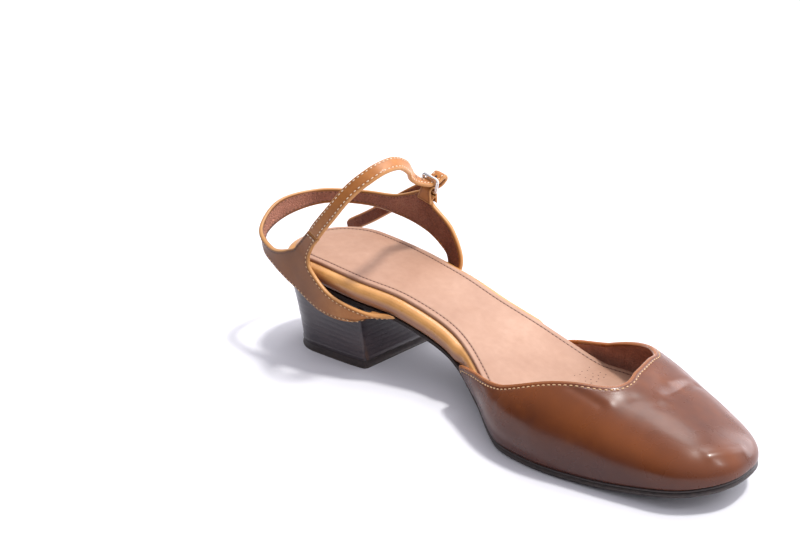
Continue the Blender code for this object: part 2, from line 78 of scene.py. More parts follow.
# %% Curves of the last
def through(stations, values, at):
    """Cubic Hermite curve through the rows: slopes are central differences of the rows."""
    xs, ys = np.asarray(stations, float), np.asarray(values, float)
    slope = np.gradient(ys, xs, axis=0)
    at = np.clip(np.asarray(at, float), xs[0], xs[-1])
    row = np.clip(np.searchsorted(xs, at, side="right") - 1, 0, len(xs) - 2)
    step = xs[row + 1] - xs[row]
    t = (at - xs[row]) / step
    if ys.ndim > 1:
        t, step = t[..., None], step[..., None]
    start = (1 + 2 * t) * (1 - t) ** 2 * ys[row] + t * (1 - t) ** 2 * step * slope[row]
    end = t ** 2 * (3 - 2 * t) * ys[row + 1] - t ** 2 * (1 - t) * step * slope[row + 1]
    return start + end


def ease(value, low, high):
    """0 below low, 1 above high, and 3t^2 - 2t^3 between."""
    t = np.clip((np.asarray(value, float) - low) / (high - low), 0, 1)
    return t * t * (3 - 2 * t)


def bell(value, centre, width):
    """exp(-((value - centre) / width)^2)."""
    return np.exp(-((value - centre) / width) ** 2)


def quarter_round(away, radius):
    """Quarter circle, 0 at an edge and 1 at a radius from it: sqrt(1 - (1 - away / radius)^2)."""
    return np.sqrt(1 - (1 - np.clip(away / radius, 0, 1)) ** 2)


def cosine_steps(count, first=0.0):
    """Steps that are close at both ends: (1 - cos(pi t)) / 2 for even t from first to 1."""
    return (1 - np.cos(np.pi * np.linspace(first, 1, count))) / 2


def share(x):
    """Share of the sole's length at x."""
    return (np.asarray(x, float) + HEEL_CENTRE) / SOLE_LENGTH


def place(at):
    """X at a share of the sole's length."""
    return np.asarray(at, float) * SOLE_LENGTH - HEEL_CENTRE


def seat(x):
    """Top of the outsole: its thickness plus the heel's rise and the toe's spring."""
    heel, toe = (through(SIDE_VIEW["at"], SIDE_VIEW[end], share(x)) for end in ("heel", "toe"))
    return SOLE_THICKNESS + HEEL_RISE * np.maximum(heel, 0) + TOE_SPRING * np.maximum(toe, 0)


def waist(x):
    """1 under the heel and the arch, 0 under the forepart."""
    return 1 - ease(share(x), 0.45, 0.60)


def sole_thickness(x):
    """Full under the forepart, thin under the waist and the heel."""
    return SOLE_THICKNESS + (WAIST_THICKNESS - SOLE_THICKNESS) * waist(x)


def edges(x, inset, inner_tuck=0.0, outer_tuck=0.0, toe_tuck=0.0):
    """Y of the inner and the outer edge: table widths less the inset, superellipses at both ends."""
    at = share(x)
    wide = HEEL_WIDTH + (BALL_WIDTH - HEEL_WIDTH) * ease(at, 0.30, 0.60)
    inner = through(PLAN["at"], PLAN["inner"], at) * wide - inset - inner_tuck
    outer = through(PLAN["at"], PLAN["outer"], at) * wide - inset - outer_tuck
    heel = np.clip((x + HEEL_CENTRE - inset) / HEEL_ROUND, 0, 1)
    toe = np.clip((TOE_END - inset - toe_tuck - x) / TOE_ROUND, 0, 1)
    closing = (1 - (1 - heel) ** 2.1) ** (1 / 2.1) * (1 - (1 - toe) ** 2.6) ** (1 / 2.6)
    middle, half = (outer - inner) / 2, (outer + inner) / 2 * closing
    return middle - half, middle + half


def plan_ring(inset, count, tuck=None, toe_tuck=0.0):
    """Loop round the sole: x in cosine steps from heel to toe on the outer edge, then back on the inner."""
    x = -HEEL_CENTRE + inset + (SOLE_LENGTH - 2 * inset - toe_tuck) * cosine_steps(count + 1)
    inner, outer = edges(x, inset, *(tuck(x) if tuck else (0.0, 0.0)), toe_tuck)
    return np.concatenate([x, x[-2:0:-1]]), np.concatenate([outer, inner[-2:0:-1]])


print("heel seat at", round(float(seat(place(0))), 4), "arch at", round(float(seat(place(0.45))), 4))

# %% [markdown]
# ## From arrays to pieces
# Every piece below is an array of points and a few arrays of face corners. One helper turns them into
# a mesh with `foreach_set`, makes sure that the faces look outwards by the sign of the volume they
# enclose, and lets the piece ride on the shoe in place of its CAD solid. Threads and holes replace none.

# %% Mesh helpers
FINISHES = {}


def unit(vectors):
    """Vectors divided by their length."""
    return vectors / np.maximum(np.linalg.norm(vectors, axis=-1, keepdims=True), 1e-12)


def run_along(path):
    """Arc length at each point of a path: running sum of the steps."""
    return np.concatenate([[0], np.cumsum(np.linalg.norm(np.diff(path, axis=0), axis=1))])


def at_run(where, run, values):
    """Rows of values at given arc lengths, linear between the points."""
    return np.stack([np.interp(where, run, column) for column in values.T], axis=1)


def nearest(points, line):
    """Distance of each point to the nearest point of a line, from |p|^2 + |q|^2 - 2 p.q, in blocks."""
    found = []
    for block in np.array_split(points, max(1, len(points) // 4000)):
        square = (block ** 2).sum(1)[:, None] + (line ** 2).sum(1)[None] - 2 * block @ line.T
        found.append(np.sqrt(np.maximum(square.min(axis=1), 0)))
    return np.concatenate(found)


def grid(rows, columns):
    """Numbers of the points of a grid, row by row."""
    return np.arange(rows * columns).reshape(rows, columns)


def weave(index, closed=False):
    """Quads between neighbouring rows and columns; closed joins the last column to the first."""
    here = index if closed else index[:, :-1]
    after = np.roll(index, -1, axis=1) if closed else index[:, 1:]
    return np.stack([here[:-1], after[:-1], after[1:], here[1:]], axis=-1).reshape(-1, 4)


def lids(size, first, last):
    """Strips that close the end rings of a stack: each point is joined to the one across, size - i."""
    half = size // 2
    i = np.arange(1, half - 1)
    strip = np.stack([i, i + 1, size - i - 1, size - i], axis=-1)
    tips = np.array([[0, 1, size - 1], [half - 1, half, half + 1]])
    return [first + strip[:, ::-1], first + tips[:, ::-1], last + strip, last + tips]


def stray_edges(faces):
    """Number of directed edges whose reverse isn't there exactly once: 0 on a closed, well turned skin."""
    start = np.concatenate([f.ravel() for f in faces]).astype(np.int64)
    end = np.concatenate([np.roll(f, -1, axis=1).ravel() for f in faces]).astype(np.int64)
    size = int(start.max()) + 1
    ahead, count = np.unique(start * size + end, return_counts=True)
    return int((count > 1).sum() + (~np.isin(end * size + start, ahead)).sum())


def linked(name, data):
    """New object in the scene."""
    thing = bpy.data.objects.new(name, data)
    bpy.context.scene.collection.objects.link(thing)
    return thing


def piece(name, points, faces, finishes, slots=None, marks=None, replaces=(), slot="strap_leather"):
    """One object from points (n, 3) and face arrays; marks are float attributes, a value for each point."""
    points = np.asarray(points, float).reshape(-1, 3)
    signed = sum(float((points[f[:, 0]] * np.cross(points[f[:, k]], points[f[:, k + 1]])).sum())
                 for f in faces for k in range(1, f.shape[1] - 1)) / 6
    if signed < 0:
        faces = [f[:, ::-1] for f in faces]
    corners = np.concatenate([f.ravel() for f in faces])
    sizes = np.concatenate([np.full(len(f), f.shape[1]) for f in faces])
    mesh = bpy.data.meshes.new(name)
    mesh.vertices.add(len(points))
    mesh.vertices.foreach_set("co", points.astype(np.float32).ravel())
    mesh.loops.add(len(corners))
    mesh.loops.foreach_set("vertex_index", corners.astype(np.int32))
    mesh.polygons.add(len(sizes))
    mesh.polygons.foreach_set("loop_start", (np.cumsum(sizes) - sizes).astype(np.int32))
    for finish in finishes:
        mesh.materials.append(FINISHES[finish])
    if slots is not None:
        mesh.polygons.foreach_set("material_index", np.concatenate(slots).astype(np.int32))
    mesh.update(calc_edges=True)
    for mark, values in (marks or {}).items():
        made = mesh.attributes.new(mark, "FLOAT", "POINT")
        made.data.foreach_set("value", np.asarray(values, np.float32).ravel())
    mesh.shade_smooth()
    thing = linked(name, mesh)
    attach(thing, "root")
    if replaces:
        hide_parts(*replaces)
    print(name, len(points), "points,", len(sizes), "faces, volume", round(abs(signed) * 1e6, 2),
          "cm3, stray edges", stray_edges(faces))


def stack(name, rings, finishes, wall=0, bottom=0, **more):
    """Solid from rings (k, n, 3), bottom to top, closed by lids; wall and bottom choose the finish."""
    k, n = rings.shape[:2]
    faces = [weave(grid(k, n), closed=True)] + lids(n, 0, (k - 1) * n)
    slots = [np.broadcast_to(kind, len(f)) for f, kind in zip(faces, (wall, bottom, bottom, 0, 0))]
    piece(name, rings, faces, finishes, slots, **more)


# %% [markdown]
# ## Finishes
# Each finish is a Principled shader fed by procedural noise in Object coordinates. Leather gets three
# things: clouds of dye that vary the colour, a fine grain of pebbles as bump, and a sheen of wax whose
# roughness varies a little. Marks stored on the mesh, such as the distance from an edge, lighten the
# edges that the maker dyed, and paint shade and highlights into the colour where shadow and light fall.

# %% Node helpers
def wire(tree, made, sockets):
    """Give each input of a node its value, or a link where the source is another socket."""
    for socket, source in sockets.items():
        if isinstance(source, bpy.types.NodeSocket):
            tree.links.new(source, made.inputs[socket])
        else:
            made.inputs[socket].default_value = source


def node(tree, kind, sockets, **settings):
    """First output of a new node with these inputs and settings."""
    made = tree.nodes.new(kind)
    for key, value in settings.items():
        setattr(made, key, value)
    wire(tree, made, sockets)
    return made.outputs[0]


def blank(name):
    """New material: its node tree, its Principled shader and the Object coordinates."""
    made = bpy.data.materials.new(name)
    made.use_nodes = True
    tree = made.node_tree
    FINISHES[name] = made
    return tree, tree.nodes["Principled BSDF"], tree.nodes.new("ShaderNodeTexCoord").outputs["Object"]


def noise(tree, where, scale, detail=4.0, stretch=(1, 1, 1), rough=0.55):
    """Cloudy value between 0 and 1, with cells of about 1 / scale metres."""
    turned = node(tree, "ShaderNodeMapping", {"Vector": where, "Scale": stretch})
    return node(tree, "ShaderNodeTexNoise",
                {"Vector": turned, "Scale": scale, "Detail": detail, "Roughness": rough})


def ramp(tree, value, stops):
    """Colour ramp: stops are (position, colour)."""
    made = tree.nodes.new("ShaderNodeValToRGB")
    band = made.color_ramp.elements
    while len(band) < len(stops):
        band.new(0.5)
    for element, (position, colour) in zip(band, stops):
        element.position = position
        element.color = (*colour, 1.0)
    wire(tree, made, {0: value})
    return made.outputs[0]


def span(tree, value, low, high, to_low=0.0, to_high=1.0):
    """Value mapped from low..high to to_low..to_high, held at the ends."""
    return node(tree, "ShaderNodeMapRange",
                {"Value": value, "From Min": low, "From Max": high, "To Min": to_low, "To Max": to_high})


def product(tree, first, second):
    """Product of two values."""
    return node(tree, "ShaderNodeMath", {0: first, 1: second}, operation="MULTIPLY")


def sum_of(tree, terms):
    """Weighted sum of values: terms are (value, weight)."""
    first, *others = (product(tree, value, weight) for value, weight in terms)
    for other in others:
        first = node(tree, "ShaderNodeMath", {0: first, 1: other}, operation="ADD")
    return first


def blended_towards(tree, amount, colour, target_colour):
    """Colour that turns into a fixed colour by an amount: dyed edges, wear, painted shade and highlights."""
    made = tree.nodes.new("ShaderNodeMix")
    made.data_type = "RGBA"
    wire(tree, made, {0: amount, 6: colour, 7: (*target_colour, 1.0)})
    return made.outputs[2]


def mark_of(tree, name):
    """Value of a mesh attribute."""
    made = tree.nodes.new("ShaderNodeAttribute")
    made.attribute_name = name
    return made.outputs["Fac"]


def bump(tree, height, distance):
    """Bump whose full height is a real distance in metres."""
    return node(tree, "ShaderNodeBump", {"Height": height, "Strength": 1.0, "Distance": distance})


def leather(name, stops, roughness, grain, relief, cloud, coat=0.0, wear_and_shade=None, painted_light_marks=(), wrinkle=0.0,
            fibre=0.0, sheen_level=0.45, pore_depth=0.12):
    """Dyed leather: colour from clouds, grain from small cells with soft borders, and varied gloss.

    The edge tone is (mark, low, high, colour, strength): the colour fades in as the mark goes from high
    to low. It is a lighter dyed edge on the vamp and the straps, and painted shade on the rim and the sock.
    The painted shade and highlights are each (mark, colour, strength): they fade in with their marks,
    broken up by the clouds.
    """
    tree, shader, where = blank(name)
    broad = noise(tree, where, cloud, 3.0)
    fine = noise(tree, where, cloud * 9, 4.0)
    colour = ramp(tree, sum_of(tree, [(broad, 0.7), (fine, 0.3)]), stops)
    # Painted shade and painted highlights, each fading in with its mark
    for mark, target_colour, strength in painted_light_marks:
        patchy = span(tree, broad, 0.25, 0.55, strength * 0.6, strength)
        colour = blended_towards(tree, product(tree, mark_of(tree, mark), patchy), colour, target_colour)
    # Lighter dyed edges, and painted shade on the rim and the sock
    if wear_and_shade:
        mark, low, high, worn_and_shaded, strength = wear_and_shade
        colour = blended_towards(tree, span(tree, mark_of(tree, mark), low, high, strength, 0.0), colour, worn_and_shaded)
    cells = node(tree, "ShaderNodeTexVoronoi", {"Vector": where, "Scale": grain}, feature="DISTANCE_TO_EDGE")
    height = [(span(tree, cells, 0.0, 0.12), pore_depth), (noise(tree, where, grain * 0.4, 3.0), 0.5)]
    if wrinkle:
        height.append((noise(tree, where, 330.0, 3.0, (1.0, 1.0, 0.4), 0.6), wrinkle))
    if fibre:
        height.append((noise(tree, where, 900.0, 6.0, (1.0, 1.0, 0.35), 0.7), fibre))
    gloss = span(tree, noise(tree, where, cloud * 3, 4.0), 0.3, 0.7, roughness - 0.05, roughness + 0.07)
    wire(tree, shader, {"Base Color": colour, "Normal": bump(tree, sum_of(tree, height), relief),
                        "Roughness": gloss, "Coat Weight": coat, "Coat Roughness": 0.16,
                        "Specular IOR Level": sheen_level})


# %% [markdown]
# The vamp is polished calf in a red-brown dye, with a painted orange highlight over the toe and the side,
# and painted shade low down on the inner side. The straps are the same hide in tan, with painted shade
# in the seam grooves and towards the heel. Their lining has a painted highlight there.

# %% Leathers of the upper
# The vamp takes painted shade low on its inner side wall and a painted orange highlight on the toe and the
# side
leather("vamp_calf",
        [(0.28, (0.072, 0.015, 0.003)), (0.50, (0.118, 0.026, 0.003)), (0.70, (0.185, 0.047, 0.005))],
        0.28, 1200.0, 0.000007, 24.0, coat=0.12, wear_and_shade=("edge", 0.0002, 0.0014, (0.40, 0.135, 0.034), 0.85),
        painted_light_marks=[("low", (0.040, 0.009, 0.008), 0.8), ("painted_highlight", (0.205, 0.050, 0.004), 0.68)],
        wrinkle=0.15, sheen_level=0.38, pore_depth=0.08)
# The straps take painted shade towards the heel and in their seam grooves; their edges are dyed lighter
leather("strap_calf",
        [(0.30, (0.24, 0.078, 0.018)), (0.52, (0.42, 0.158, 0.040)), (0.70, (0.57, 0.250, 0.078))],
        0.36, 1400.0, 0.00003, 30.0, coat=0.05, wear_and_shade=("edge", 0.0001, 0.0009, (0.60, 0.31, 0.115), 0.70),
        painted_light_marks=[("low", (0.120, 0.038, 0.008), 0.92), ("seam", (0.045, 0.014, 0.005), 0.55)], sheen_level=0.26)
# The lining takes a painted highlight towards the heel and near the ankle strap's start
leather("suede_lining",
        [(0.32, (0.15, 0.046, 0.025)), (0.52, (0.25, 0.085, 0.048)), (0.70, (0.36, 0.145, 0.088))],
        0.85, 700.0, 0.00080, 60.0, painted_light_marks=[("low", (0.60, 0.29, 0.20), 0.60)], wrinkle=1.4, fibre=0.5,
        sheen_level=0.25, pore_depth=0.4)
leather("vamp_suede",
        [(0.32, (0.25, 0.098, 0.064)), (0.55, (0.40, 0.175, 0.120)), (0.72, (0.52, 0.260, 0.185))],
        0.85, 600.0, 0.00050, 55.0, wrinkle=1.4, fibre=0.4, sheen_level=0.25, pore_depth=0.4)

# %% [markdown]
# The footbed's rim is glazed ochre leather, with painted shade on its lower part where it turns under.
# The sock is soft, pinkish and almost dull, with a faint mottle, and painted shade along its cut edge and
# its seam groove. The sole's edge and the heel are dyed nearly black, and the heel's front shows its
# stacked layers as thin lines.

# %% Finishes of the sole, the threads and the metal
# Painted shade on the rim's lower part, where it turns under
leather("rim_glazed",
        [(0.30, (0.42, 0.190, 0.055)), (0.55, (0.60, 0.300, 0.095)), (0.72, (0.70, 0.39, 0.15))],
        0.30, 1300.0, 0.00002, 24.0, coat=0.25, wear_and_shade=("rim", 0.50, 0.70, (0.24, 0.096, 0.052), 0.88))
# Painted shade along the sock's cut edge and in its seam groove
leather("sock_skin",
        [(0.30, (0.340, 0.186, 0.122)), (0.52, (0.398, 0.230, 0.156)), (0.72, (0.462, 0.282, 0.199))],
        0.52, 1200.0, 0.00003, 34.0, wear_and_shade=("edge", 0.0000, 0.0006, (0.24, 0.105, 0.060), 0.6),
        painted_light_marks=[("groove", (0.13, 0.048, 0.030), 0.9)], wrinkle=0.35, sheen_level=0.35)


def heel_finish():
    """Dark stacked leather: bands in height, each a little different, with fine fibres along the layers."""
    tree, shader, where = blank("heel_stack")
    layers = noise(tree, where, 330.0, 2.0, (0.02, 0.02, 1.0))
    fibres = noise(tree, where, 900.0, 5.0, (0.06, 0.06, 1.0), 0.7)
    cloud = noise(tree, where, 40.0, 3.0)
    stops = [(0.34, (0.010, 0.006, 0.010)), (0.52, (0.026, 0.016, 0.022)), (0.68, (0.058, 0.038, 0.040))]
    colour = ramp(tree, sum_of(tree, [(layers, 0.25), (fibres, 0.35), (cloud, 0.4)]), stops)
    ragged = product(tree, span(tree, mark_of(tree, "corner"), 0.35, 1.0),
                     span(tree, noise(tree, where, 300.0, 5.0, (1, 1, 0.4)), 0.42, 0.60))
    wire(tree, shader, {"Base Color": blended_towards(tree, ragged, colour, (0.16, 0.075, 0.035)),
                        "Normal": bump(tree, sum_of(tree, [(layers, 0.4), (fibres, 0.6)]), 0.00006),
                        "Roughness": span(tree, fibres, 0.3, 0.7, 0.26, 0.40),
                        "Coat Weight": 0.15, "Coat Roughness": 0.2})


def plain_finish(name, dark, light, roughness, scale, relief, metallic=0.0, ribs=None):
    """One material with a little cloud in its colour and gloss, for rubber, thread and metal.

    ribs is the pitch of a cross tread: sine waves along X, whose period is pi / (10 * scale).
    """
    tree, shader, where = blank(name)
    cloud = noise(tree, where, scale, 5.0)
    height = cloud
    if ribs:
        wave = tree.nodes.new("ShaderNodeTexWave")
        wave.bands_direction = "X"
        wire(tree, wave, {"Vector": where, "Scale": np.pi / (10 * ribs), "Distortion": 0.6})
        height = sum_of(tree, [(wave.outputs["Fac"], 0.85), (cloud, 0.15)])
    wire(tree, shader, {"Base Color": ramp(tree, cloud, [(0.35, dark), (0.65, light)]), "Metallic": metallic,
                        "Roughness": span(tree, cloud, 0.3, 0.7, roughness - 0.06, roughness + 0.08),
                        "Normal": bump(tree, height, relief)})


heel_finish()
plain_finish("sole_rubber", (0.016, 0.010, 0.010), (0.040, 0.026, 0.023), 0.42, 500.0, 0.00005)
plain_finish("sole_tread", (0.040, 0.028, 0.024), (0.075, 0.055, 0.045), 0.62, 700.0, 0.0005, ribs=0.0028)
plain_finish("cream_thread", (0.62, 0.46, 0.30), (0.86, 0.74, 0.58), 0.70, 2500.0, 0.00008)
plain_finish("tan_thread", (0.50, 0.29, 0.14), (0.78, 0.54, 0.31), 0.65, 2500.0, 0.00008)
plain_finish("dark_thread", (0.050, 0.022, 0.014), (0.110, 0.052, 0.030), 0.70, 2500.0, 0.00008)
plain_finish("nickel", (0.62, 0.61, 0.60), (0.80, 0.79, 0.78), 0.17, 180.0, 0.00001, metallic=1.0)
# Painted shade that stands for the dark inside of holes
plain_finish("hole_shade", (0.045, 0.018, 0.010), (0.080, 0.034, 0.020), 0.80, 900.0, 0.00002)
print(len(FINISHES), "finishes")

# %% [markdown]
# ## Outsole
# A thin rubber sole runs the full length. Its edge is two soft rolls with a line between them: the
# moulded rubber below and the narrow strip above that covers the lasting of the vamp. The stack of plan
# rings below repeats the last's outline at each height, drawn in where the edge rolls.

# %% Outsole
SOLE_EDGE = {
    "up":    (0.00, 0.03, 0.12, 0.30, 0.48, 0.60, 0.655, 0.71, 0.80, 0.93, 1.00),
    "inset": (0.0018, 0.0011, 0.0004, 0.0000, 0.0001, 0.0004, 0.0009, 0.0005, 0.0001, 0.0002, 0.0007),
}


def outsole_rings(count=220):
    """Rings at shares of the sole's thickness: z = seat - thickness * (1 - up), insets from the table."""
    rings = []
    for up, inset in zip(SOLE_EDGE["up"], SOLE_EDGE["inset"]):
        x, y = plan_ring(inset, count, lambda x: (WAIST_SETBACK * waist(x),) * 2)
        rings.append(np.stack([x, y, seat(x) - sole_thickness(x) * (1 - up)], axis=1))
    return np.array(rings)


stack("outsole_rubber", outsole_rings(), ["sole_rubber", "sole_tread"], bottom=1, replaces=("outsole",),
      slot="sole_rubber")

# %% [markdown]
# ## Heel
# The heel is a stack of leather lifts, trimmed to the seat's outline, cut off flat in front and a little
# narrower at the floor. Its plan is the last's outline closed by a straight front with small round
# corners. Each lift ends in a shallow groove, so the layers show as lines, as on the real breast.

# %% Heel and its top lift
HEEL_LENGTH = 0.065
LIFT_THICKNESS = 0.0035
HEEL_SETBACK = 0.0010
CORNER = 0.0012
LIFT_PITCH = 0.0031
FLOOR_TAPER = 0.93


def heel_plan(count=70):
    """Loop round the heel; in front the half widths shrink by a quarter circle to round the corners."""
    back = -HEEL_CENTRE + HEEL_SETBACK
    front = back + HEEL_LENGTH
    x = back + (front - CORNER - back) * (1 - np.cos(np.pi / 2 * np.arange(count + 1) / count))
    quarter = np.linspace(0, np.pi / 2, 7)[1:]
    x = np.concatenate([x, front - CORNER + CORNER * np.sin(quarter)])
    drop = np.concatenate([np.zeros(count + 1), CORNER * (1 - np.cos(quarter))])
    inner, outer = edges(x, HEEL_SETBACK)
    inner, outer = inner + drop, outer - drop
    breast = inner[-1] + (outer[-1] - inner[-1]) * np.linspace(1, 0, 17)[1:-1]
    xs = np.concatenate([x, np.full(len(breast), front), x[-1:0:-1]])
    return xs, np.concatenate([outer, breast, inner[-1:0:-1]]), front


heel_x, heel_y, heel_front = heel_plan()
heel_side = unit(np.stack([np.gradient(heel_y), -np.gradient(heel_x)], axis=-1))


def heel_rings(tapers, insets, heights):
    """Rings of the heel: the plan scaled towards its front face by the taper, less an inset."""
    return np.array([np.stack([heel_front - (heel_front - heel_x) * taper - heel_side[:, 0] * inset,
                               heel_y * taper - heel_side[:, 1] * inset, z], axis=1)
                     for taper, inset, z in zip(tapers, insets, heights)])


bottom = LIFT_THICKNESS + CLEARANCE
top = seat(heel_x) - sole_thickness(heel_x) - CLEARANCE
back_height = float(seat(-0.028) - sole_thickness(-0.028)) - CLEARANCE - bottom
lines = (np.arange(bottom + LIFT_PITCH, 0.036, LIFT_PITCH) - bottom) / back_height
levels = np.unique(np.clip(np.concatenate([[0, 0.004, 1], lines - 0.006, lines, lines + 0.006]), 0, 1))
groove = 0.00003 * bell(np.abs(lines[:, None] - levels).min(axis=0), 0, 0.003)
tapers = FLOOR_TAPER + (1 - FLOOR_TAPER) * levels ** 1.6
insets = groove + 0.0003 * np.isin(levels, (0, 1))
rings = heel_rings(tapers, insets, bottom + (top - bottom) * levels[:, None])
corner_mark = bell(heel_x, heel_front, 0.0016) * (np.abs(np.abs(heel_y) - np.abs(heel_y).max()) < 0.007)
corner_mark = corner_mark * (0.25 + 0.75 * (1 - levels[:, None]) ** 3)
stack("heel_stack", rings, ["heel_stack"], marks={"corner": corner_mark}, replaces=("heel",),
      slot="heel_stack")

levels = np.array([0.0, 0.05, 0.12, 0.5, 0.9, 1.0])
insets = 0.0007 * (1 - np.minimum(levels / 0.12, 1)) ** 2 + 0.0002 * (levels > 0.95)
rings = heel_rings(np.full(6, FLOOR_TAPER), insets, LIFT_THICKNESS * levels[:, None] + 0 * heel_x)
stack("heel_lift", rings, ["sole_rubber"], replaces=("top_lift",), slot="sole_rubber")

# %% [markdown]
# ## Footbed
# A board wrapped in glazed leather shows its rounded rim all along the open waist and heel. The rim is
# a bulge: fast at the bottom where the leather turns under, full at the middle, and easy towards the top.
# In front, the footbed is drawn in to leave room for the vamp's wall.

# %% Footbed
FOOTBED_THICKNESS = 0.0085
FOREPART_THICKNESS = 0.0045
RIM_ROUND = 0.0026
VAMP_WALL = 0.0018
TOE_SETBACK = 0.0040
RIM = {
    "up":    (0.00, 0.10, 0.28, 0.52, 0.75, 0.93, 1.00),
    "inset": (1.00, 0.40, 0.10, 0.00, 0.12, 0.45, 1.00),
}


def footbed_thickness(x):
    """Thick under the heel and the arch, thin under the toes."""
    return FOREPART_THICKNESS + (FOOTBED_THICKNESS - FOREPART_THICKNESS) * (1 - ease(share(x), 0.50, 0.66))


def inside_vamp(x):
    """Room for the vamp's wall on the inner and the outer side, from the ends of its topline on."""
    room = VAMP_WALL + CLEARANCE
    return room * ease(share(x), 0.470, 0.492), room * ease(share(x), 0.500, 0.522)


def footbed_ring(up, count=240):
    """Ring at a share of the thickness, drawn in by the rim's round."""
    inset = float(np.interp(up, RIM["up"], RIM["inset"])) * RIM_ROUND
    x, y = plan_ring(inset, count, inside_vamp, VAMP_WALL + TOE_SETBACK)
    return np.stack([x, y, seat(x) + CLEARANCE + footbed_thickness(x) * up], axis=1)


ups = cosine_steps(19)
rings = np.array([footbed_ring(up) for up in ups])
stack("footbed_rim", rings, ["rim_glazed"], marks={"rim": np.repeat(ups, rings.shape[1])},
      replaces=("footbed",), slot="rim_leather")

# %% [markdown]
# ## Sock
# The sock is a soft skin glued on the footbed. Seen from above it is a set of rings drawn in from its
# edge: the first ones round the cut edge, a shallow groove holds the stitches 3 mm in, and the middle
# swells a little under the heel, where a pad lies beneath.

# %% Sock
SOCK_THICKNESS = 0.0014
SOCK_INSET = 0.0045
SEAM_INSET = 0.0032


def sock_height(x, inset):
    """Thickness from a rounded edge, less a groove at the seam, plus the heel pad's swelling."""
    groove = 0.00022 * bell(inset, SEAM_INSET, 0.0005)
    pad = 0.0008 * ease(inset, 0.004, 0.014) * (1 - ease(share(x), 0.16, 0.30))
    return SOCK_THICKNESS * (0.25 + 0.75 * quarter_round(inset, 0.0009)) - groove + pad


def on_footbed(x, y, height):
    """Points at a height over the footbed's upper face."""
    return np.stack([x, y, seat(x) + footbed_thickness(x) + 2 * CLEARANCE + height], axis=1)


def sock_ring(inset, count=220):
    """Plan ring drawn in from the sock's edge, on its skin."""
    x, y = plan_ring(SOCK_INSET + inset, count, None, TOE_SETBACK)
    return on_footbed(x, y, sock_height(x, inset))


def sock_rings():
    """Rings drawn in from the edge to 5 mm, then rings that shrink evenly onto the sock's middle line."""
    insets = [0, 0.0001, 0.0003, 0.0006, 0.0009, 0.0015, *np.arange(0.0021, 0.0052, 0.00025)]
    rings = [sock_ring(inset) for inset in insets]
    x, y, _ = rings[0].T
    rings.insert(0, on_footbed(x, y, 0.0))
    marks = [np.full(len(x), inset) for inset in (0.0, *insets)]
    x, y, _ = rings[-1].T
    half = len(x) // 2 + 1
    spine_x = np.clip(x, x.min() + 0.018, x.max() - 0.012)
    spine_y = np.interp(spine_x, x[:half], ((y + np.roll(y[::-1], 1)) / 2)[:half])
    for left_of in np.linspace(1, 0.02, 16)[1:]:
        in_x, in_y = spine_x + (x - spine_x) * left_of, spine_y + (y - spine_y) * left_of
        inset = 0.0051 + np.hypot(x - in_x, y - in_y)
        rings.append(on_footbed(in_x, in_y, sock_height(in_x, inset)))
        marks.append(inset)
    return np.array(rings), np.array(marks)


rings, sock_mark = sock_rings()
# Painted shade in the seam groove
groove_shade = bell(sock_mark, SEAM_INSET, 0.00045)
stack("sock_skin", rings, ["sock_skin"], marks={"edge": sock_mark, "groove": groove_shade},
      replaces=("sock",), slot="sock_leather")

# %% [markdown]
# ## Vamp
# The closed toe and vamp is one skin, pulled over the last. Across the shoe its section is a
# superellipse, whose crown falls towards the toe. The topline is a curve on that skin: a table gives,
# for each turn round the section, how far back the leather starts. The wall is 1.8 mm thick and its
# edge is folded, so the surface runs from the toe up to the topline, round the fold, and back inside.

# %% Vamp sizes
VAMP_HEIGHT = 0.0350
CROWN = {
    "at":     (0.45, 0.55, 0.65, 0.75, 0.80, 0.86, 0.92, 0.97, 1.00),
    "height": (0.80, 0.88, 0.96, 0.98, 0.86, 0.65, 0.48, 0.38, 0.33),
    "inner":  (0.05, 0.04, 0.03, 0.02, 0.01, 0.01, 0.01, 0.01, 0.01),
}
TOPLINE = {
    "turn": (0.00, 0.05, 0.16, 0.24, 0.31, 0.36, 0.45, 0.51, 0.58, 0.65, 0.72, 0.77, 0.82, 0.88, 0.94, 1.00),
    "at":   (0.50, 0.51, 0.60, 0.68, 0.75, 0.79, 0.81, 0.80, 0.79, 0.78, 0.75, 0.72, 0.67, 0.62, 0.57, 0.53),
}


def vamp_point(x, turn, inset):
    """Point of the section at x: across = -cos^0.8, up = sin^0.8, with walls that lean out low down."""
    inner, outer = edges(x, inset)
    at = share(x)
    toe = np.clip((TOE_END - inset - x) / (TOE_ROUND * 1.4), 0, 1)
    crown = VAMP_HEIGHT * through(CROWN["at"], CROWN["height"], at) - inset
    crown = crown * (1 - (1 - toe) ** 2.3) ** (1 / 2.3)
    cosine, sine = np.cos(np.pi * turn), np.sin(np.pi * turn)
    across, up = -np.sign(cosine) * np.abs(cosine) ** 0.8, np.abs(sine) ** 0.8
    lean = np.where(across < 0, through(CROWN["at"], CROWN["inner"], at), 0.01) * BALL_WIDTH
    lean = lean * np.sin(np.pi * up) * (1 - up) * 1.7 * np.minimum(toe * 2, 1)
    y = (inner + outer) / 2 + (outer - inner) / 2 * across + np.sign(across) * lean
    return np.stack([x, y, seat(x) + CLEARANCE + crown * up * (1 - 0.08 * across)], axis=-1)


# %% [markdown]
# Where the foot bends, the skin keeps soft creases. Each one is given as a short line on the skin, in
# shares of the sole's length and of the turn, with a depth and a width. A point's move is the depth times
# a bell curve of its distance from that line. The painted orange highlight is laid along a line found in
# the same way.

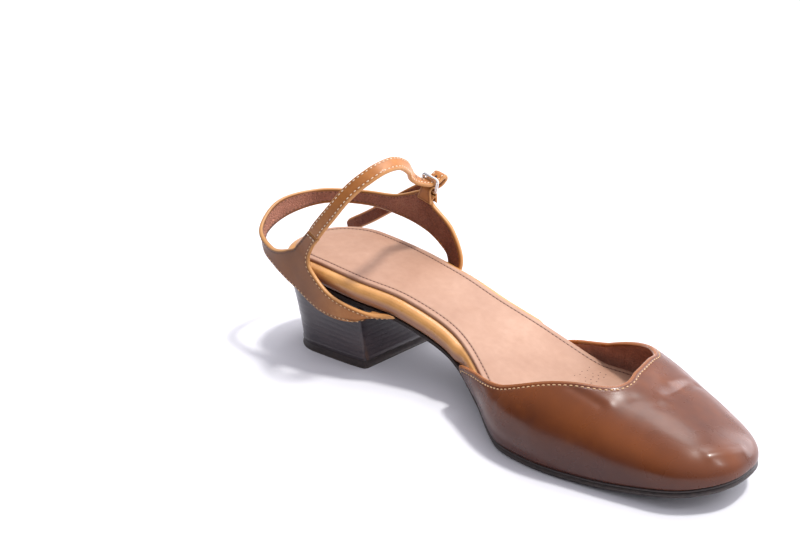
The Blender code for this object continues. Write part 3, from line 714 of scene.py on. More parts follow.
# %% Creases and the skin of the vamp
CREASES = (  # from (at, turn) to (at, turn), depth, width; a negative depth is a ridge
    ((0.758, 0.292), (0.806, 0.290), 0.00040, 0.0020),
    ((0.772, 0.306), (0.814, 0.312), -0.00028, 0.0024),
    ((0.966, 0.330), (0.985, 0.520), -0.00050, 0.0026),
    ((0.860, 0.512), (0.854, 0.700), 0.00055, 0.0028),
    ((0.843, 0.550), (0.840, 0.690), -0.00030, 0.0030),
    ((0.838, 0.400), (0.862, 0.450), 0.00028, 0.0040),
    ((0.812, 0.300), (0.838, 0.400), 0.00022, 0.0040),
    ((0.640, 0.100), (0.700, 0.070), 0.00035, 0.0040),
)
# Line of the painted orange highlight over the side and the toe, as (at, turn) rows
HIGHLIGHT_LINE = ((0.700, 0.240), (0.777, 0.205), (0.828, 0.210), (0.913, 0.178), (0.962, 0.240), (0.982, 0.400))
HIGHLIGHT_WIDTH = 0.007
TOPLINE_SEAM = 0.0021
AROUND, ALONG = 200, 150


def line_bell(points, start, end, width):
    """Bell of the distance from the straight line between two places (at, turn) of the skin."""
    a, b = (vamp_point(place(at), turn, 0.0) for at, turn in (start, end))
    along = np.clip(((points - a) @ (b - a)) / ((b - a) @ (b - a)), 0, 1)
    return bell(np.linalg.norm(points - (a + along[:, None] * (b - a)), axis=1), 0, width)


def vamp_sheet(inset):
    """Rows from the toe's tip to the topline: x = end - (end - start) * step, in cosine steps."""
    turns = np.linspace(0, 1, AROUND + 1)
    starts = place(through(TOPLINE["turn"], TOPLINE["at"], turns))
    end = TOE_END - inset
    x = end - (end - starts)[None] * cosine_steps(ALONG, 0.001)[:, None]
    return vamp_point(x, np.broadcast_to(turns, x.shape), inset)


outer_skin, inner_skin = vamp_sheet(0.0), vamp_sheet(VAMP_WALL)
skin_normal = unit(np.cross(np.gradient(outer_skin, axis=1), np.gradient(outer_skin, axis=0)))
skin_normal *= np.sign(skin_normal[60, AROUND // 2, 2])
skin_away = nearest(outer_skin.reshape(-1, 3), outer_skin[-1]).reshape(outer_skin.shape[:2])
print("topline", round(float(run_along(outer_skin[-1])[-1]), 4), "m long")

# %% [markdown]
# The edge of a shoe's leather is folded over and stitched down. The fold is half a circle from the
# outer to the inner skin, and a shallow groove runs where the thread pulls the leather down.

# %% Vamp
def vamp_loop(fold_rows=7):
    """Outer rows from toe to topline, a half-round fold, and inner rows back to the toe."""
    creases = sum(depth * line_bell(outer_skin.reshape(-1, 3), start, end, width)
                  for start, end, depth, width in CREASES)
    push = -creases.reshape(skin_away.shape) * ease(skin_away, 0.0006, 0.004)
    push -= 0.00016 * bell(skin_away, TOPLINE_SEAM, 0.0004)
    push -= 0.0005 * (1 - np.clip(skin_away / 0.0012, 0, 1)) ** 2
    outer_rows = outer_skin + skin_normal * push[..., None]
    middle, half = (outer_rows[-1] + inner_skin[-1]) / 2, (outer_rows[-1] - inner_skin[-1]) / 2
    ahead = outer_skin[-1] - outer_skin[-2]
    share_of_half = (ahead * half).sum(1, keepdims=True) / (half * half).sum(1, keepdims=True)
    beyond = unit(ahead - half * share_of_half)
    size = np.linalg.norm(half, axis=1, keepdims=True)
    fold = [middle + half * np.cos(a) + beyond * size * np.sin(a) * 0.8
            for a in np.linspace(0, np.pi, fold_rows + 2)[1:-1]]
    inner_rows = inner_skin[::-1]
    inner_away = nearest(inner_rows.reshape(-1, 3), inner_skin[-1]).reshape(skin_away.shape)
    edge = np.concatenate([skin_away, np.zeros((fold_rows, AROUND + 1)), inner_away])
    return np.concatenate([outer_rows, fold, inner_rows]), edge, ALONG + fold_rows - 2


def vamp_faces(index):
    """Quads of the loop, strips that close its two lower borders, and the seam at the toe's tip."""
    last = len(index) // 2
    faces = [weave(index)]
    for column, turn in ((index[:, 0], 1), (index[:, -1], -1)):
        a, b = column[:last], column[::-1][:last]
        faces.append(np.stack([a[:-1], a[1:], b[1:], b[:-1]], axis=-1)[:, ::turn])
        faces.append(np.array([[a[-1], column[last], b[-1]]])[:, ::turn])
    return faces + [weave(index[[0, -1]])[:, ::-1]]


def vamp_painted_shade(points):
    """Painted shade: 1 at the foot of the inner side wall, 0 above 0.62 of the vamp's height and on the
    outer side.
    """
    up = (points[..., 2] - seat(points[..., 0])) / VAMP_HEIGHT
    return (1 - ease(up, 0.10, 0.62)) * (1 - ease(points[..., 1], -0.030, 0.010))


rows, vamp_edge, lining_row = vamp_loop()
faces = vamp_faces(grid(*rows.shape[:2]))
slots = [np.zeros(len(f)) for f in faces]
slots[0] = (faces[0][:, 0] // (AROUND + 1) >= lining_row) & (vamp_edge.ravel()[faces[0][:, 0]] > 0.0012)
# Painted highlight: lighter orange along this line
highlight_mark = np.max([line_bell(rows.reshape(-1, 3), start, end, HIGHLIGHT_WIDTH)
                    for start, end in zip(HIGHLIGHT_LINE, HIGHLIGHT_LINE[1:])], axis=0)
piece("vamp_calf", rows, faces, ["vamp_calf", "vamp_suede"], slots,
      {"edge": vamp_edge, "low": vamp_painted_shade(rows), "painted_highlight": highlight_mark}, replaces=("vamp",), slot="vamp_leather")

# %% [markdown]
# ## Stitches
# One stitch is a short plump grain of thread whose ends dip into the leather. It is modelled once, as
# three rings of six points and two tips, and repeated at even steps along a seam. Each copy is turned to
# the seam's direction and to the leather's normal, all in one array.

# %% Stitch helper
def copies(faces, count, size):
    """Faces of a form of some size, repeated for a count of copies."""
    shift = (np.arange(count) * size)[:, None, None]
    return [(f[None] + shift).reshape(-1, f.shape[1]) for f in faces]


def stitch_grain():
    """Points of one stitch: rings of radius sqrt(1 - s^2) along s, and the two tips."""
    k = np.arange(6)
    angle = k * np.pi / 3
    rings = [np.stack([np.full(6, s), np.cos(angle) * wide, np.sin(angle) * wide], axis=1)
             for s, wide in ((s, np.sqrt(1 - s * s)) for s in (-0.62, 0.0, 0.62))]
    low = np.stack([np.full(6, 18), (k + 1) % 6, k], axis=1)
    high = np.stack([np.full(6, 19), 12 + k, 12 + (k + 1) % 6], axis=1)
    tips = np.array([[-1.0, 0, 0], [1.0, 0, 0]])
    return np.concatenate(rings + [tips]), [weave(grid(3, 6), closed=True), np.concatenate([low, high])]


def even_steps(path, normal, pitch):
    """Points, directions and normals at even steps of arc length along a path."""
    run = run_along(path)
    count = int(run[-1] / pitch)
    at = (np.arange(count) + 0.5) * run[-1] / count
    ahead = at_run(at + pitch * 0.3, run, path) - at_run(at - pitch * 0.3, run, path)
    return at_run(at, run, path), unit(ahead), unit(at_run(at, run, normal))


def stitches(name, seams, pitch, length, radius, finish):
    """Stitches along seams (path, normal): centre + s*length*T + r*(a*B + b*N), arched so that tips dip."""
    points, faces = stitch_grain()
    parts = [even_steps(path, normal, pitch) for path, normal in seams]
    centre, ahead, facing = (np.concatenate([p[k] for p in parts])[:, None] for k in range(3))
    s, a, b = points.T[..., None]
    beside = unit(np.cross(facing, ahead))
    arch = radius * (0.25 - 0.9 * s ** 2)
    grains = centre + ahead * s * length / 2 + beside * a * radius + facing * (b * radius + arch)
    piece(name, grains, copies(faces, len(centre), len(points)), [finish])


# %% [markdown]
# The topline's seam lies 2 mm below the fold. To find it, each column of the skin is searched for the
# place where the distance from the topline passes that much.

# %% Seams of the vamp and the sock
def seam_on_skin(distance):
    """Path where the distance from the topline equals a value: linear between the two rows around it."""
    cols = np.arange(4, AROUND - 3)
    last = ALONG - 1 - np.argmax(skin_away[::-1][:, cols] > distance, axis=0)
    low, high = skin_away[last, cols], skin_away[last + 1, cols]
    t = ((low - distance) / (low - high))[:, None]
    normal = skin_normal[last, cols]
    return outer_skin[last, cols] * (1 - t) + outer_skin[last + 1, cols] * t - normal * 0.0001, normal


def sock_seam(count=260):
    """Seam on the sock, open under the toes: the inner edge from the front to the heel, then the outer."""
    path = sock_ring(SEAM_INSET, count)
    path = np.roll(path, count, axis=0)
    path = path[path[:, 0] < place(0.80)]
    return path, np.broadcast_to([0, 0, 1.0], path.shape)


stitches("vamp_stitches", [seam_on_skin(TOPLINE_SEAM)], 0.0022, 0.0016, 0.00026, "tan_thread")
stitches("sock_stitches", [sock_seam()], 0.0021, 0.0015, 0.00024, "dark_thread")

# %% [markdown]
# ## Sling strap
# The side pieces and the back strap are one band, with a fork on each side that carries the ankle strap.
# The band's middle surface is ruled between its lower and its upper edge, both smooth curves through
# table rows. Near a fork the upper edge leaves the band and climbs the arm, so the edges are drawn as
# four continuous curves, and the arms are ruled between two of them.

# %% Tables of the sling strap
SLING_THICKNESS = 0.0024
SLING_RISE = 0.052
STRAP_WIDTH = 0.0074
STRAP_THICKNESS = 0.0022
SLING = {
    "low_at":   (0.297, 0.252, 0.184, 0.115, 0.092, 0.053, 0.008, -0.031, -0.047, -0.025, 0.055, 0.152,
                 0.225, 0.268, 0.278, 0.276, 0.273),
    "low_out":  (-0.330, -0.500, -0.555, -0.560, -0.562, -0.560, -0.511, -0.355, -0.035, 0.312, 0.534, 0.563,
                 0.563, 0.563, 0.560, 0.535, 0.500),
    "low_up":   (-0.165, -0.281, -0.250, -0.095, -0.045, 0.055, 0.150, 0.245, 0.329, 0.367, 0.346, 0.304,
                 0.215, 0.073, -0.056, -0.135, -0.165),
    "high_at":  (0.344, 0.289, 0.219, 0.170, 0.163, 0.116, 0.053, -0.016, -0.045, -0.031, 0.043, 0.133,
                 0.197, 0.243, 0.290, 0.315, 0.312),
    "high_out": (-0.355, -0.464, -0.542, -0.551, -0.548, -0.555, -0.555, -0.459, -0.147, 0.260, 0.525, 0.563,
                 0.563, 0.563, 0.565, 0.560, 0.500),
    "high_up":  (-0.195, -0.165, -0.060, 0.123, 0.229, 0.292, 0.227, 0.338, 0.512, 0.531, 0.504, 0.523,
                 0.608, 0.512, 0.319, 0.040, -0.190),
}
FORKS = (4, 12)  # each arm leaves the band between this row and the next
ARM = {
    "front_at": (0.170, 0.182, 0.200), "front_out": (-0.546,) * 3, "front_up": (0.300, 0.375, 0.452),
    "back_at":  (0.135, 0.154, 0.173), "back_out":  (-0.546,) * 3, "back_up":  (0.362, 0.442, 0.523),
}
BUCKLE_AT, BUCKLE_OUT, BUCKLE_UP, BUCKLE_TILT = 0.233, 0.563, 0.648, 0.27
BUCKLE_WIRE, BUCKLE_HEIGHT = 0.0018, 0.0068
TAB_THICKNESS, TAB_WIDTH = 0.0012, 0.0100
BAR_GAP = 0.0012


def strap_rows(table, edge=""):
    """Points from shares of the sole's length, the heel's width and the sling's rise over the seat."""
    at, out, up = (np.asarray(table[edge + name]) for name in ("at", "out", "up"))
    return np.stack([place(at), out * HEEL_WIDTH, SOLE_THICKNESS + HEEL_RISE + up * SLING_RISE], axis=-1)


lean = np.sqrt(1 - BUCKLE_TILT ** 2)
forward, upward, outward_y = np.array([[lean, 0, -BUCKLE_TILT], [BUCKLE_TILT, 0, lean], [0, 1.0, 0]])
bar = strap_rows({"at": BUCKLE_AT, "out": BUCKLE_OUT, "up": BUCKLE_UP})
print("lower bar of the buckle at", np.round(bar, 4))

# %% [markdown]
# The strap's lower end is tucked against the footbed's rim. Where a point of the ruled band would reach
# into the rim or the sole's edge, it is laid against them instead, at half a strap's thickness.

# %% Middle surface of the sling strap
def beside_rim(points):
    """Y moved out to the rim's own profile at that height, where the point would lie further in."""
    x, y, z = np.moveaxis(points, -1, 0)
    up = (z - seat(x) - CLEARANCE) / footbed_thickness(x)
    inset = np.interp(up, RIM["up"], RIM["inset"]) * RIM_ROUND
    inset = np.where(up < RIM["up"][3], np.minimum(inset, WAIST_SETBACK), inset)
    inner, outer = edges(x, inset)
    room = SLING_THICKNESS / 2 + CLEARANCE
    pushed = np.where(y < 0, np.minimum(y, inner - room), np.maximum(y, outer + room))
    low = z < seat(x) + CLEARANCE + footbed_thickness(x) + room
    return np.stack([x, np.where(low, pushed, y), z], axis=-1)


def row_curve(rows, at):
    """Smooth curve through rows of points, at row numbers."""
    return through(np.arange(len(rows)), rows, at)


def sling_sheet(fine=14, levels=22):
    """Points, quads and named border lines of the band and its two arms, as one sheet."""
    low_rows, high_rows = strap_rows(SLING, "low_"), strap_rows(SLING, "high_")
    arm_end = bar - upward * (BUCKLE_WIRE / 2 + BAR_GAP)
    front = np.vstack([high_rows[:5], strap_rows(ARM, "front_")])
    top = np.vstack([strap_rows(ARM, "back_")[::-1], high_rows[5:13], arm_end - forward * TAB_WIDTH / 2])
    toe_side = np.vstack([arm_end + forward * TAB_WIDTH / 2, high_rows[13:]])
    last = len(low_rows) - 1
    even, graded = np.arange(fine) / fine, cosine_steps(fine + 1)[:-1]
    u = np.concatenate([row + (graded if row in FORKS else even) for row in range(last)] + [[last]])
    low = row_curve(low_rows, u)
    high = np.where((u <= 4)[:, None], row_curve(front, u),
                    np.where((u >= 13)[:, None], row_curve(toe_side, u - 12), row_curve(top, u - 2)))
    for fork in FORKS:
        inside = (u > fork) & (u < fork + 1)
        across = high_rows[fork + 1] - high_rows[fork]
        high[inside] = high_rows[fork] + across * (u[inside] - fork)[:, None]
    band = beside_rim(low[:, None] + (high - low)[:, None] * cosine_steps(levels)[None, :, None])
    index = grid(len(u), levels)
    points, faces, arms, count = [band.reshape(-1, 3)], [weave(index)], [], index.size
    inner_up, outer_up = np.linspace(0, 3, 31)[1:], np.linspace(0, 1, 13)[1:]
    sides = ((row_curve(front, 4 + inner_up), row_curve(top, 3 - inner_up)),
             (row_curve(top, 10 + outer_up), row_curve(toe_side, 1 - outer_up)))
    for fork, (near, far) in zip(FORKS, sides):
        base = np.flatnonzero((u >= fork) & (u <= fork + 1))
        s = (u[base] - fork)[None, :, None]
        arm = near[:, None] * (1 - s) + far[:, None] * s
        arms.append(np.vstack([index[base, -1], count + grid(*arm.shape[:2])]))
        faces.append(weave(arms[-1].T))
        points.append(arm.reshape(-1, 3))
        count += arm.size // 3
    inner, outer = arms
    a, b, c, d = (int(np.flatnonzero(u == row)[0]) for row in (4, 5, 12, 13))
    lines = {"low": index[:, 0], "front": np.concatenate([index[:a, -1], inner[:, 0]]),
             "top": np.concatenate([inner[::-1, -1], index[b + 1:c, -1], outer[:, 0]]),
             "toe_side": np.concatenate([outer[::-1, -1], index[d + 1:, -1]])}
    return np.concatenate(points), np.concatenate(faces), lines


sling_points, sling_quads, sling_lines = sling_sheet()
print("upper edge of the sling", round(float(run_along(sling_points[sling_lines["top"]])[-1]), 3), "m long")

# %% [markdown]
# A folded strap is a flat cushion: full thickness in the middle, a half round at the edge. So each point
# is moved out by half the thickness times a quarter circle of its distance from the border. The two
# faces share the border's points, which closes the piece.

# %% Cushioned sheet helper
STRAP_SEAM = 0.0013
LINING_SEAM = 0.0019


def sheet_normals(points, quads):
    """Unit normal of each point: sum of the cross products of the diagonals of its quads."""
    corner = points[quads]
    facing = np.cross(corner[:, 2] - corner[:, 0], corner[:, 3] - corner[:, 1])
    total = np.zeros_like(points)
    for k in range(4):
        np.add.at(total, quads[:, k], facing)
    return unit(total)


def border_points(quads):
    """Points of the edges that only one quad uses."""
    edge = np.sort(np.concatenate([quads[:, [k, (k + 1) % 4]] for k in range(4)]), axis=1)
    edge, count = np.unique(edge, axis=0, return_counts=True)
    return np.unique(edge[count == 1])


def cushion(name, points, quads, thickness, finishes, seam, round_off, marks, replaces):
    """Both faces of a sheet at +-thickness/2 * quarter circle of the border distance, less a seam groove."""
    normal = sheet_normals(points, quads)
    border = border_points(quads)
    away = nearest(points, points[border])
    away[border] = 0.0
    half = thickness / 2 * quarter_round(away, round_off)
    groove = 0.00012 * bell(away, seam, 0.00035)
    inside = np.flatnonzero(away > 0)
    renamed = np.arange(len(points))
    renamed[inside] = len(points) + np.arange(len(inside))
    under = (points - normal * (half - groove * 0.7)[:, None])[inside]
    slots = [np.zeros(len(quads)), away[quads].mean(axis=1) > 0.0015]
    # The seam mark paints shade into the stitch groove
    marks = {"edge": away, "seam": bell(away, seam, 0.00038), **marks}
    piece(name, np.concatenate([points + normal * (half - groove)[:, None], under]),
          [quads, renamed[quads[:, ::-1]]], finishes, slots,
          {mark: np.concatenate([values, values[inside]]) for mark, values in marks.items()}, replaces)
    return normal


# %% Sling strap
# Painted shade on the strap's outer face towards the heel, strongest on the inner side; the lining gets a
# painted highlight there
heelward = 1 - ease(share(sling_points[:, 0]), 0.12, 0.32)
heel_shade_and_highlight = heelward * (0.4 + 0.6 * ease(-sling_points[:, 1], -0.02, 0.02))
sling_normal = cushion("sling_calf", sling_points, sling_quads, SLING_THICKNESS,
                       ["strap_calf", "suede_lining"], seam=STRAP_SEAM, round_off=0.0011,
                       marks={"low": heel_shade_and_highlight}, replaces=("sling_strap",))

# %% [markdown]
# ## Ankle strap
# The ankle strap is a flat section carried along a path: it leaves the inner arm, rounds the ankle,
# passes through the buckle and hangs down outside. A second table gives the direction of its width, so
# that the strap twists as leather does. The tail ends in a rounded point.

# %% Path of the ankle strap
ANKLE = {
    "at":    (0.204, 0.232, 0.255, 0.273, 0.289, 0.296, 0.293, 0.275, 0.253, 0.240),
    "out":   (-0.54, -0.51, -0.47, -0.41, -0.32, -0.19, -0.02, 0.16, 0.28, 0.39),
    "up":    (0.580, 0.720, 0.848, 0.951, 1.035, 1.089, 1.087, 0.993, 0.892, 0.800),
    "lie_x": (-0.83, -0.78, -0.74, -0.74, -0.78, -0.85, -0.75, -0.55, -0.46, -0.75),
    "lie_y": (0.03, 0.08, 0.16, 0.20, 0.15, 0.00, 0.05, 0.30, 0.39, 0.25),
    "lie_z": (0.55, 0.62, 0.65, 0.64, 0.60, 0.52, 0.65, 0.75, 0.76, 0.55),
}
TAIL = {
    "at":    (0.239, 0.237, 0.230, 0.205, 0.160, 0.094, 0.030, -0.045),
    "out":   (0.68, 0.71, 0.69, 0.65, 0.64, 0.64, 0.64, 0.62),
    "up":    (0.765, 0.740, 0.695, 0.622, 0.512, 0.344, 0.178, 0.005),
    "lie_x": (-0.96, -0.96, -0.85, -0.60, -0.48, -0.46, -0.46, -0.46),
    "lie_y": (0.00, 0.00, 0.00, 0.00, 0.00, 0.00, 0.00, 0.00),
    "lie_z": (0.27, 0.27, 0.50, 0.80, 0.88, 0.89, 0.89, 0.89),
}


def ankle_path(steps=14):
    """Middle line of the strap at fine steps, with the directions of its width and of its travel."""
    front, back = strap_rows(ARM, "front_")[-1], strap_rows(ARM, "back_")[-1]
    seam_lie = unit(back - front)
    seam = (front + back) / 2 + np.array([seam_lie[2], 0.0, -seam_lie[0]]) * 1.5 * CLEARANCE
    reach = SLING_THICKNESS / 2 + CLEARANCE + TAB_THICKNESS
    opening = bar + upward * (reach + BUCKLE_HEIGHT - BUCKLE_WIRE / 2) / 2
    passing = opening + outward_y * np.array([[-0.0030], [0.0], [0.0030]])
    stations = np.vstack([seam, strap_rows(ANKLE), passing, strap_rows(TAIL)])
    turns = [np.stack([table["lie_" + axis] for axis in "xyz"], axis=1) for table in (ANKLE, TAIL)]
    lies = np.vstack([seam_lie, turns[0], np.tile(-forward, (3, 1)), turns[1]])
    fine = np.linspace(0, len(stations) - 1, (len(stations) - 1) * steps + 1)
    path, lie = row_curve(stations, fine), row_curve(lies, fine)
    travel = unit(np.gradient(path, axis=0))
    lie = unit(lie - travel * (lie * travel).sum(1, keepdims=True))
    start = slice(0, steps // 2)
    lie[start] = unit(lie[start] + (seam_lie - lie[:1]) * np.linspace(1, 0, steps // 2)[:, None])
    return path, lie, travel


path, lie, travel = ankle_path()
face = unit(np.cross(travel, lie))
run = run_along(path)
print("ankle strap", round(float(run[-1]), 4), "m long")

# %% [markdown]
# The strap's section is a flat loop: across it runs from edge to edge on the outer face, round the
# folded edge, and back on the lining. Two shallow grooves hold the two rows of stitches.

# %% Ankle strap
TIP_LENGTH = 0.0055


def strap_section(half_width):
    """Loop of (across, over, away from the edge): quarter circles at the edges, grooves at the seams."""
    across = (2 * cosine_steps(27) - 1)[None] * half_width[:, None]
    away = half_width[:, None] - np.abs(across)
    over = STRAP_THICKNESS / 2 * quarter_round(away, 0.0009) - 0.00014 * bell(away, STRAP_SEAM, 0.0003)
    return (np.concatenate([part, sign * part[:, -2:0:-1]], axis=1)
            for part, sign in ((across, 1), (over, -1), (away, 1)))


left = run[-1] - run
across, over, away = strap_section(STRAP_WIDTH / 2 * np.maximum(quarter_round(left, TIP_LENGTH), 0.06))
over = over * np.clip(left / 0.0008, 0.2, 1)[:, None]
strap = path[:, None] + lie[:, None] * across[..., None] + face[:, None] * over[..., None]
size = strap.shape[1]
first = weave(grid(*strap.shape[:2]), closed=True)[:, 0]
inner_face = (first % size >= size // 2) & (away.ravel()[first] > 0.0011)
# Painted shade on the outer face near the strap's start and in its seam grooves; a painted highlight on the
# lining near the start
stack("ankle_calf", strap, ["strap_calf", "suede_lining"], wall=inner_face, marks={
    "edge": np.minimum(away, np.minimum(left, run + 0.0002)[:, None]),
    "low": np.repeat(0.5 * (1 - ease(run, 0.004, 0.034)), size),
    "seam": 0.45 * bell(away, STRAP_SEAM, 0.00045)}, replaces=("ankle_strap",))

# %% [markdown]
# The seams follow the borders of the straps on both faces: light thread low on the band and on the ankle
# strap, dark thread along the top and on the lining. One short seam crosses the strap where it joins.

# %% Seams of the straps
def sling_seam(line, inset, side):
    """Path on a face of the sling: border point + inward * inset + normal * half the thickness."""
    line = sling_lines[line][3:-3]
    border, normal = sling_points[line], sling_normal[line]
    inward = unit(np.cross(normal, unit(np.gradient(border, axis=0))))
    middle = len(border) // 2
    centre = sling_points[sling_quads].mean(axis=1)
    towards = centre[np.argmin(((centre - border[middle]) ** 2).sum(1))] - border[middle]
    inward *= np.sign(towards @ inward[middle])
    return border + inward * inset + normal * side * (SLING_THICKNESS / 2 - 0.00013), normal * side


outer_side = -np.sign(sling_normal[sling_lines["low"][60], 1])
outer_seams = [sling_seam(line, STRAP_SEAM, outer_side) for line in sling_lines]
lining_seams = [sling_seam(line, LINING_SEAM, -outer_side) for line in sling_lines]
stitches("band_stitches", outer_seams[:2], 0.0024, 0.0016, 0.00027, "tan_thread")
stitches("sling_stitches", outer_seams[2:], 0.0026, 0.0019, 0.00030, "dark_thread")
stitches("lining_stitches", lining_seams, 0.0024, 0.0017, 0.00024, "dark_thread")

start, end = sling_lines["front"][-4], sling_lines["top"][3]
across_normal = sling_normal[start] * outer_side
joint = sling_points[start] + (sling_points[end] - sling_points[start]) * np.linspace(0.10, 0.90, 9)[:, None]
joint = joint + across_normal * (SLING_THICKNESS / 2 + 0.00005)
stitches("joint_stitches", [(joint, np.tile(across_normal, (9, 1)))], 0.0019, 0.0014, 0.00028,
         "cream_thread")

outward = face * np.sign(face[len(face) // 4] @ np.array([0.3, -1.0, 0.5]))
seam_line = path + outward * (STRAP_THICKNESS / 2 - 0.00012)
both_seams = [seam_line + lie * side * (STRAP_WIDTH / 2 - STRAP_SEAM) for side in (-1, 1)]
stitches("ankle_stitches", [(seam[4:-12], outward[4:-12]) for seam in both_seams], 0.0024, 0.0016, 0.00029,
         "cream_thread")

# %% [markdown]
# ## Buckle
# The frame is bright wire bent to a rectangle with round corners. It is a circle carried along the
# bend. A folded leather tab holds its lower bar: a strip that runs up one face of the arm, round the
# bar, and down the other face.

# %% Buckle frame
def rounded_rectangle(half_width, half_height, corner, steps=14):
    """Closed path of four quarter circles, in the plane of the frame."""
    angle = np.concatenate([np.pi / 2 * (q + np.arange(steps + 1) / steps) for q in range(4)])
    right, up = np.repeat([[1, -1, -1, 1], [1, 1, -1, -1]], steps + 1, axis=1)
    across = right * (half_width - corner) + corner * np.cos(angle)
    return across, up * (half_height - corner) + corner * np.sin(angle)


bar_x, bar_z = rounded_rectangle(STRAP_WIDTH / 2 + CLEARANCE + BUCKLE_WIRE / 2, BUCKLE_HEIGHT / 2, 0.0016)
wire_path = bar + upward * BUCKLE_HEIGHT / 2 + forward * bar_x[:, None] + upward * bar_z[:, None]
wire_side = unit(np.cross(unit(np.roll(wire_path, -1, axis=0) - np.roll(wire_path, 1, axis=0)), outward_y))
angle = (np.arange(18) * 2 * np.pi / 18)[:, None]
circle = wire_side[:, None] * np.cos(angle) + outward_y * np.sin(angle)
tube = wire_path[:, None] + circle * BUCKLE_WIRE / 2
index = grid(len(tube), 18)
piece("buckle_wire", tube, [weave(np.vstack([index, index[:1]]), closed=True)], ["nickel"],
      replaces=("buckle_frame",), slot="buckle_metal")


# %% Buckle tab
def tab_sheet(leg=0.0062, columns=15):
    """Strip round the bar: straight legs and a half circle of the arm's half thickness plus its own."""
    radius = SLING_THICKNESS / 2 + CLEARANCE + TAB_THICKNESS / 2
    down = np.linspace(leg, 0, 14)[:-1]
    turn = np.linspace(np.pi, 0, 19)
    out = np.concatenate([np.full(13, -radius), radius * np.cos(turn), np.full(13, radius)])
    up = np.concatenate([-down, radius * np.sin(turn), -down[::-1]])
    narrow = STRAP_WIDTH - 2 * CLEARANCE
    wide = narrow + (TAB_WIDTH - narrow) * np.maximum(-up, 0) / leg
    side = cosine_steps(columns) - 0.5
    return (bar + outward_y * out[:, None, None] + upward * up[:, None, None]
            + forward * (wide[:, None] * side[None])[..., None])


tab = tab_sheet()
cushion("buckle_tab_calf", tab.reshape(-1, 3), weave(grid(*tab.shape[:2])), TAB_THICKNESS,
        ["strap_calf", "strap_calf"], seam=0.0011, round_off=0.0006, marks={}, replaces=("buckle_tab",))

# %% [markdown]
# Small things finish the shoe: the row of punched holes in the strap beside the buckle, and the cluster
# of pinholes in the sock.

# %% Holes and pinholes
def dimples(name, centre, facing, radius):
    """Shallow buttons in painted shade that stand for holes: four rings of 12 points each, closed below and
    above.
    """
    a = unit(np.cross(facing, np.array([0.31, 0.87, 0.39])))[:, None]
    b = np.cross(facing, a[:, 0])[:, None]
    angle = (np.arange(12) * np.pi / 6)[:, None]
    circle = a * np.cos(angle) + b * np.sin(angle)
    rings = [centre[:, None] + (circle * wide + facing[:, None] * up) * radius
             for wide, up in ((1.0, -0.35), (1.0, 0.03), (0.85, 0.05), (0.35, 0.05))]
    faces = [weave(grid(4, 12), closed=True)] + lids(12, 0, 36)
    piece(name, np.stack(rings, axis=1), copies(faces, len(centre), 48), ["hole_shade"])


buckle_run = float(run[np.argmin(np.linalg.norm(path - (bar + upward * 0.0042), axis=1))])
hole_run = buckle_run + np.array([-0.0130, -0.0065, 0.0048, 0.0125, 0.0190, 0.0255])
hole_at, hole_facing = at_run(hole_run, run, path), unit(at_run(hole_run, run, outward))
half = hole_facing * STRAP_THICKNESS / 2
dimples("strap_holes", np.concatenate([hole_at + half, hole_at - half]),
        np.concatenate([hole_facing, -hole_facing]), 0.00075)

pin_a, pin_b = (part.ravel() for part in np.meshgrid(np.arange(4), np.arange(5), indexing="ij"))
pins = on_footbed(0.1300 + 0.0030 * pin_a + 0.0009 * (pin_b % 2), 0.0165 + 0.0026 * pin_b,
                  SOCK_THICKNESS)
dimples("sock_pinholes", pins, np.tile([0, 0, 1.0], (len(pins), 1)), 0.00032)

# %% [markdown]
# ## Studio
# The shoe stands on a white sheet. A sun high on the right, as through a window, gives the crisp shadows
# to the left, and a wide sky gives them a lilac tint. Two soft lamps draw the sheens on the vamp, and a
# third lights the far side. The camera looks from the inner front quarter, a little from above, with an
# ordinary lens and a slight roll.

# %% Floor
floor_mesh = bpy.data.meshes.new("floor")
floor_mesh.from_pydata([(x, y, 0.0) for y in (-3.0, 3.0) for x in (-3.0, 3.0)], [], [(0, 1, 3, 2)])
tree, shader, _ = blank("floor_white")
wire(tree, shader, {"Base Color": (0.69, 0.69, 0.73, 1.0), "Roughness": 0.7})
floor_mesh.materials.append(FINISHES["floor_white"])
floor = linked("floor", floor_mesh)


# %% Lamps
def stand(name, data, right, up, back, where):
    """Object at a place, with its own X, Y and Z axes along right, up and back."""
    turn = np.eye(4)
    turn[:3] = np.stack([right, up, back, where], axis=1)
    thing = linked(name, data)
    thing.matrix_world = Matrix(turn.tolist())
    return thing


def lamp(name, kind, where, target, power, colour, **size):
    """Lamp at a place, whose -Z axis points at a target."""
    data = bpy.data.lights.new(name, kind)
    data.energy, data.color = power, colour
    for key, value in size.items():
        setattr(data, key, value)
    back = unit(np.array(where) - np.array(target))
    right = unit(np.cross([0, 0, 1.0], back))
    stand(name, data, right, np.cross(back, right), back, where)


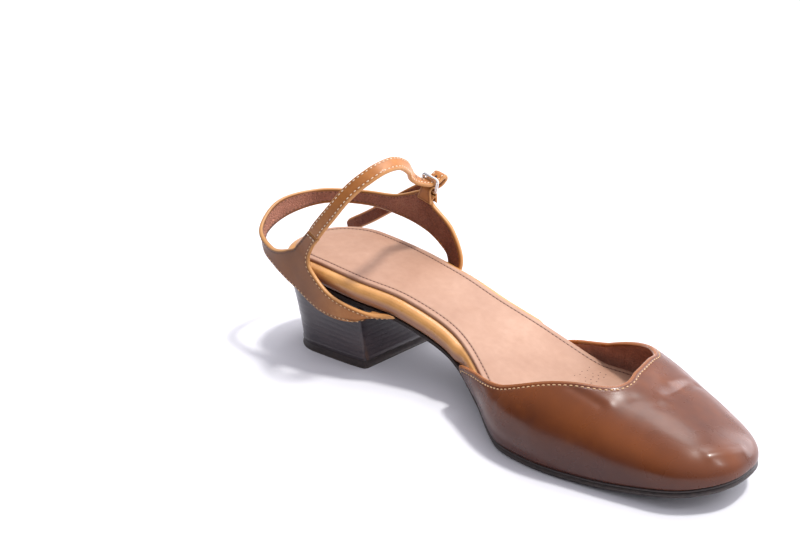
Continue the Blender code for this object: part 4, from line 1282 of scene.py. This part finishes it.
lamp("window", "SUN", (0.46, 0.40, 1.30), (0.12, 0.0, 0.03), 2.5, (1.0, 0.985, 0.95), angle=0.13)
lamp("sheen", "AREA", (-0.10, 0.55, 1.00), (0.15, 0.0, 0.03), 4.0, (1.0, 0.98, 0.97), size=0.50)
lamp("streak", "AREA", (0.92, 0.20, 0.76), (0.20, 0.0, 0.03), 0.8, (1.0, 1.0, 1.0), size=0.07)
lamp("far_side", "AREA", (0.36, 0.62, 0.26), (0.16, 0.0, 0.03), 2.2, (0.96, 0.95, 1.0), size=0.45)

# %% [markdown]
# The sky grows brighter towards the window, by the dot product of the two directions. The camera sees a
# plain white in its place.

# %% Sky
sky = bpy.data.worlds.new("sky")
sky.use_nodes = True
wires, ground = sky.node_tree, sky.node_tree.nodes["Background"]
towards = wires.nodes.new("ShaderNodeVectorMath")
towards.operation = "DOT_PRODUCT"
wire(wires, towards, {0: wires.nodes.new("ShaderNodeTexCoord").outputs["Generated"], 1: (0.30, 0.60, 0.74)})
wire(wires, ground, {"Strength": span(wires, towards.outputs["Value"], -0.6, 1.0, 0.08, 1.40),
                     "Color": (0.945, 0.93, 1.0, 1.0)})
backdrop = node(wires, "ShaderNodeBackground", {"Color": (1.0, 1.0, 1.0, 1.0), "Strength": 1.0})
seen = wires.nodes.new("ShaderNodeLightPath").outputs["Is Camera Ray"]
either = node(wires, "ShaderNodeMixShader", {0: seen, 1: ground.outputs[0], 2: backdrop})
wire(wires, wires.nodes["World Output"], {"Surface": either})
bpy.context.scene.world = sky
bpy.context.scene.view_settings.view_transform = "Standard"

# %% Camera
CAMERA_AT = (0.37806, -0.29763, 0.21114)
AHEAD = unit(np.array([-0.70535, 0.62030, -0.34309]))
ROLL = np.radians(-4.41)
level = unit(np.cross(AHEAD, [0, 0, 1.0]))
right = level * np.cos(ROLL) + np.cross(level, AHEAD) * np.sin(ROLL)
view = bpy.data.cameras.new("camera")
view.lens, view.sensor_width, view.sensor_fit = 45.32, 36.0, "HORIZONTAL"
view.clip_start = 0.01
bpy.context.scene.camera = stand("camera", view, right, np.cross(right, AHEAD), -AHEAD, CAMERA_AT)
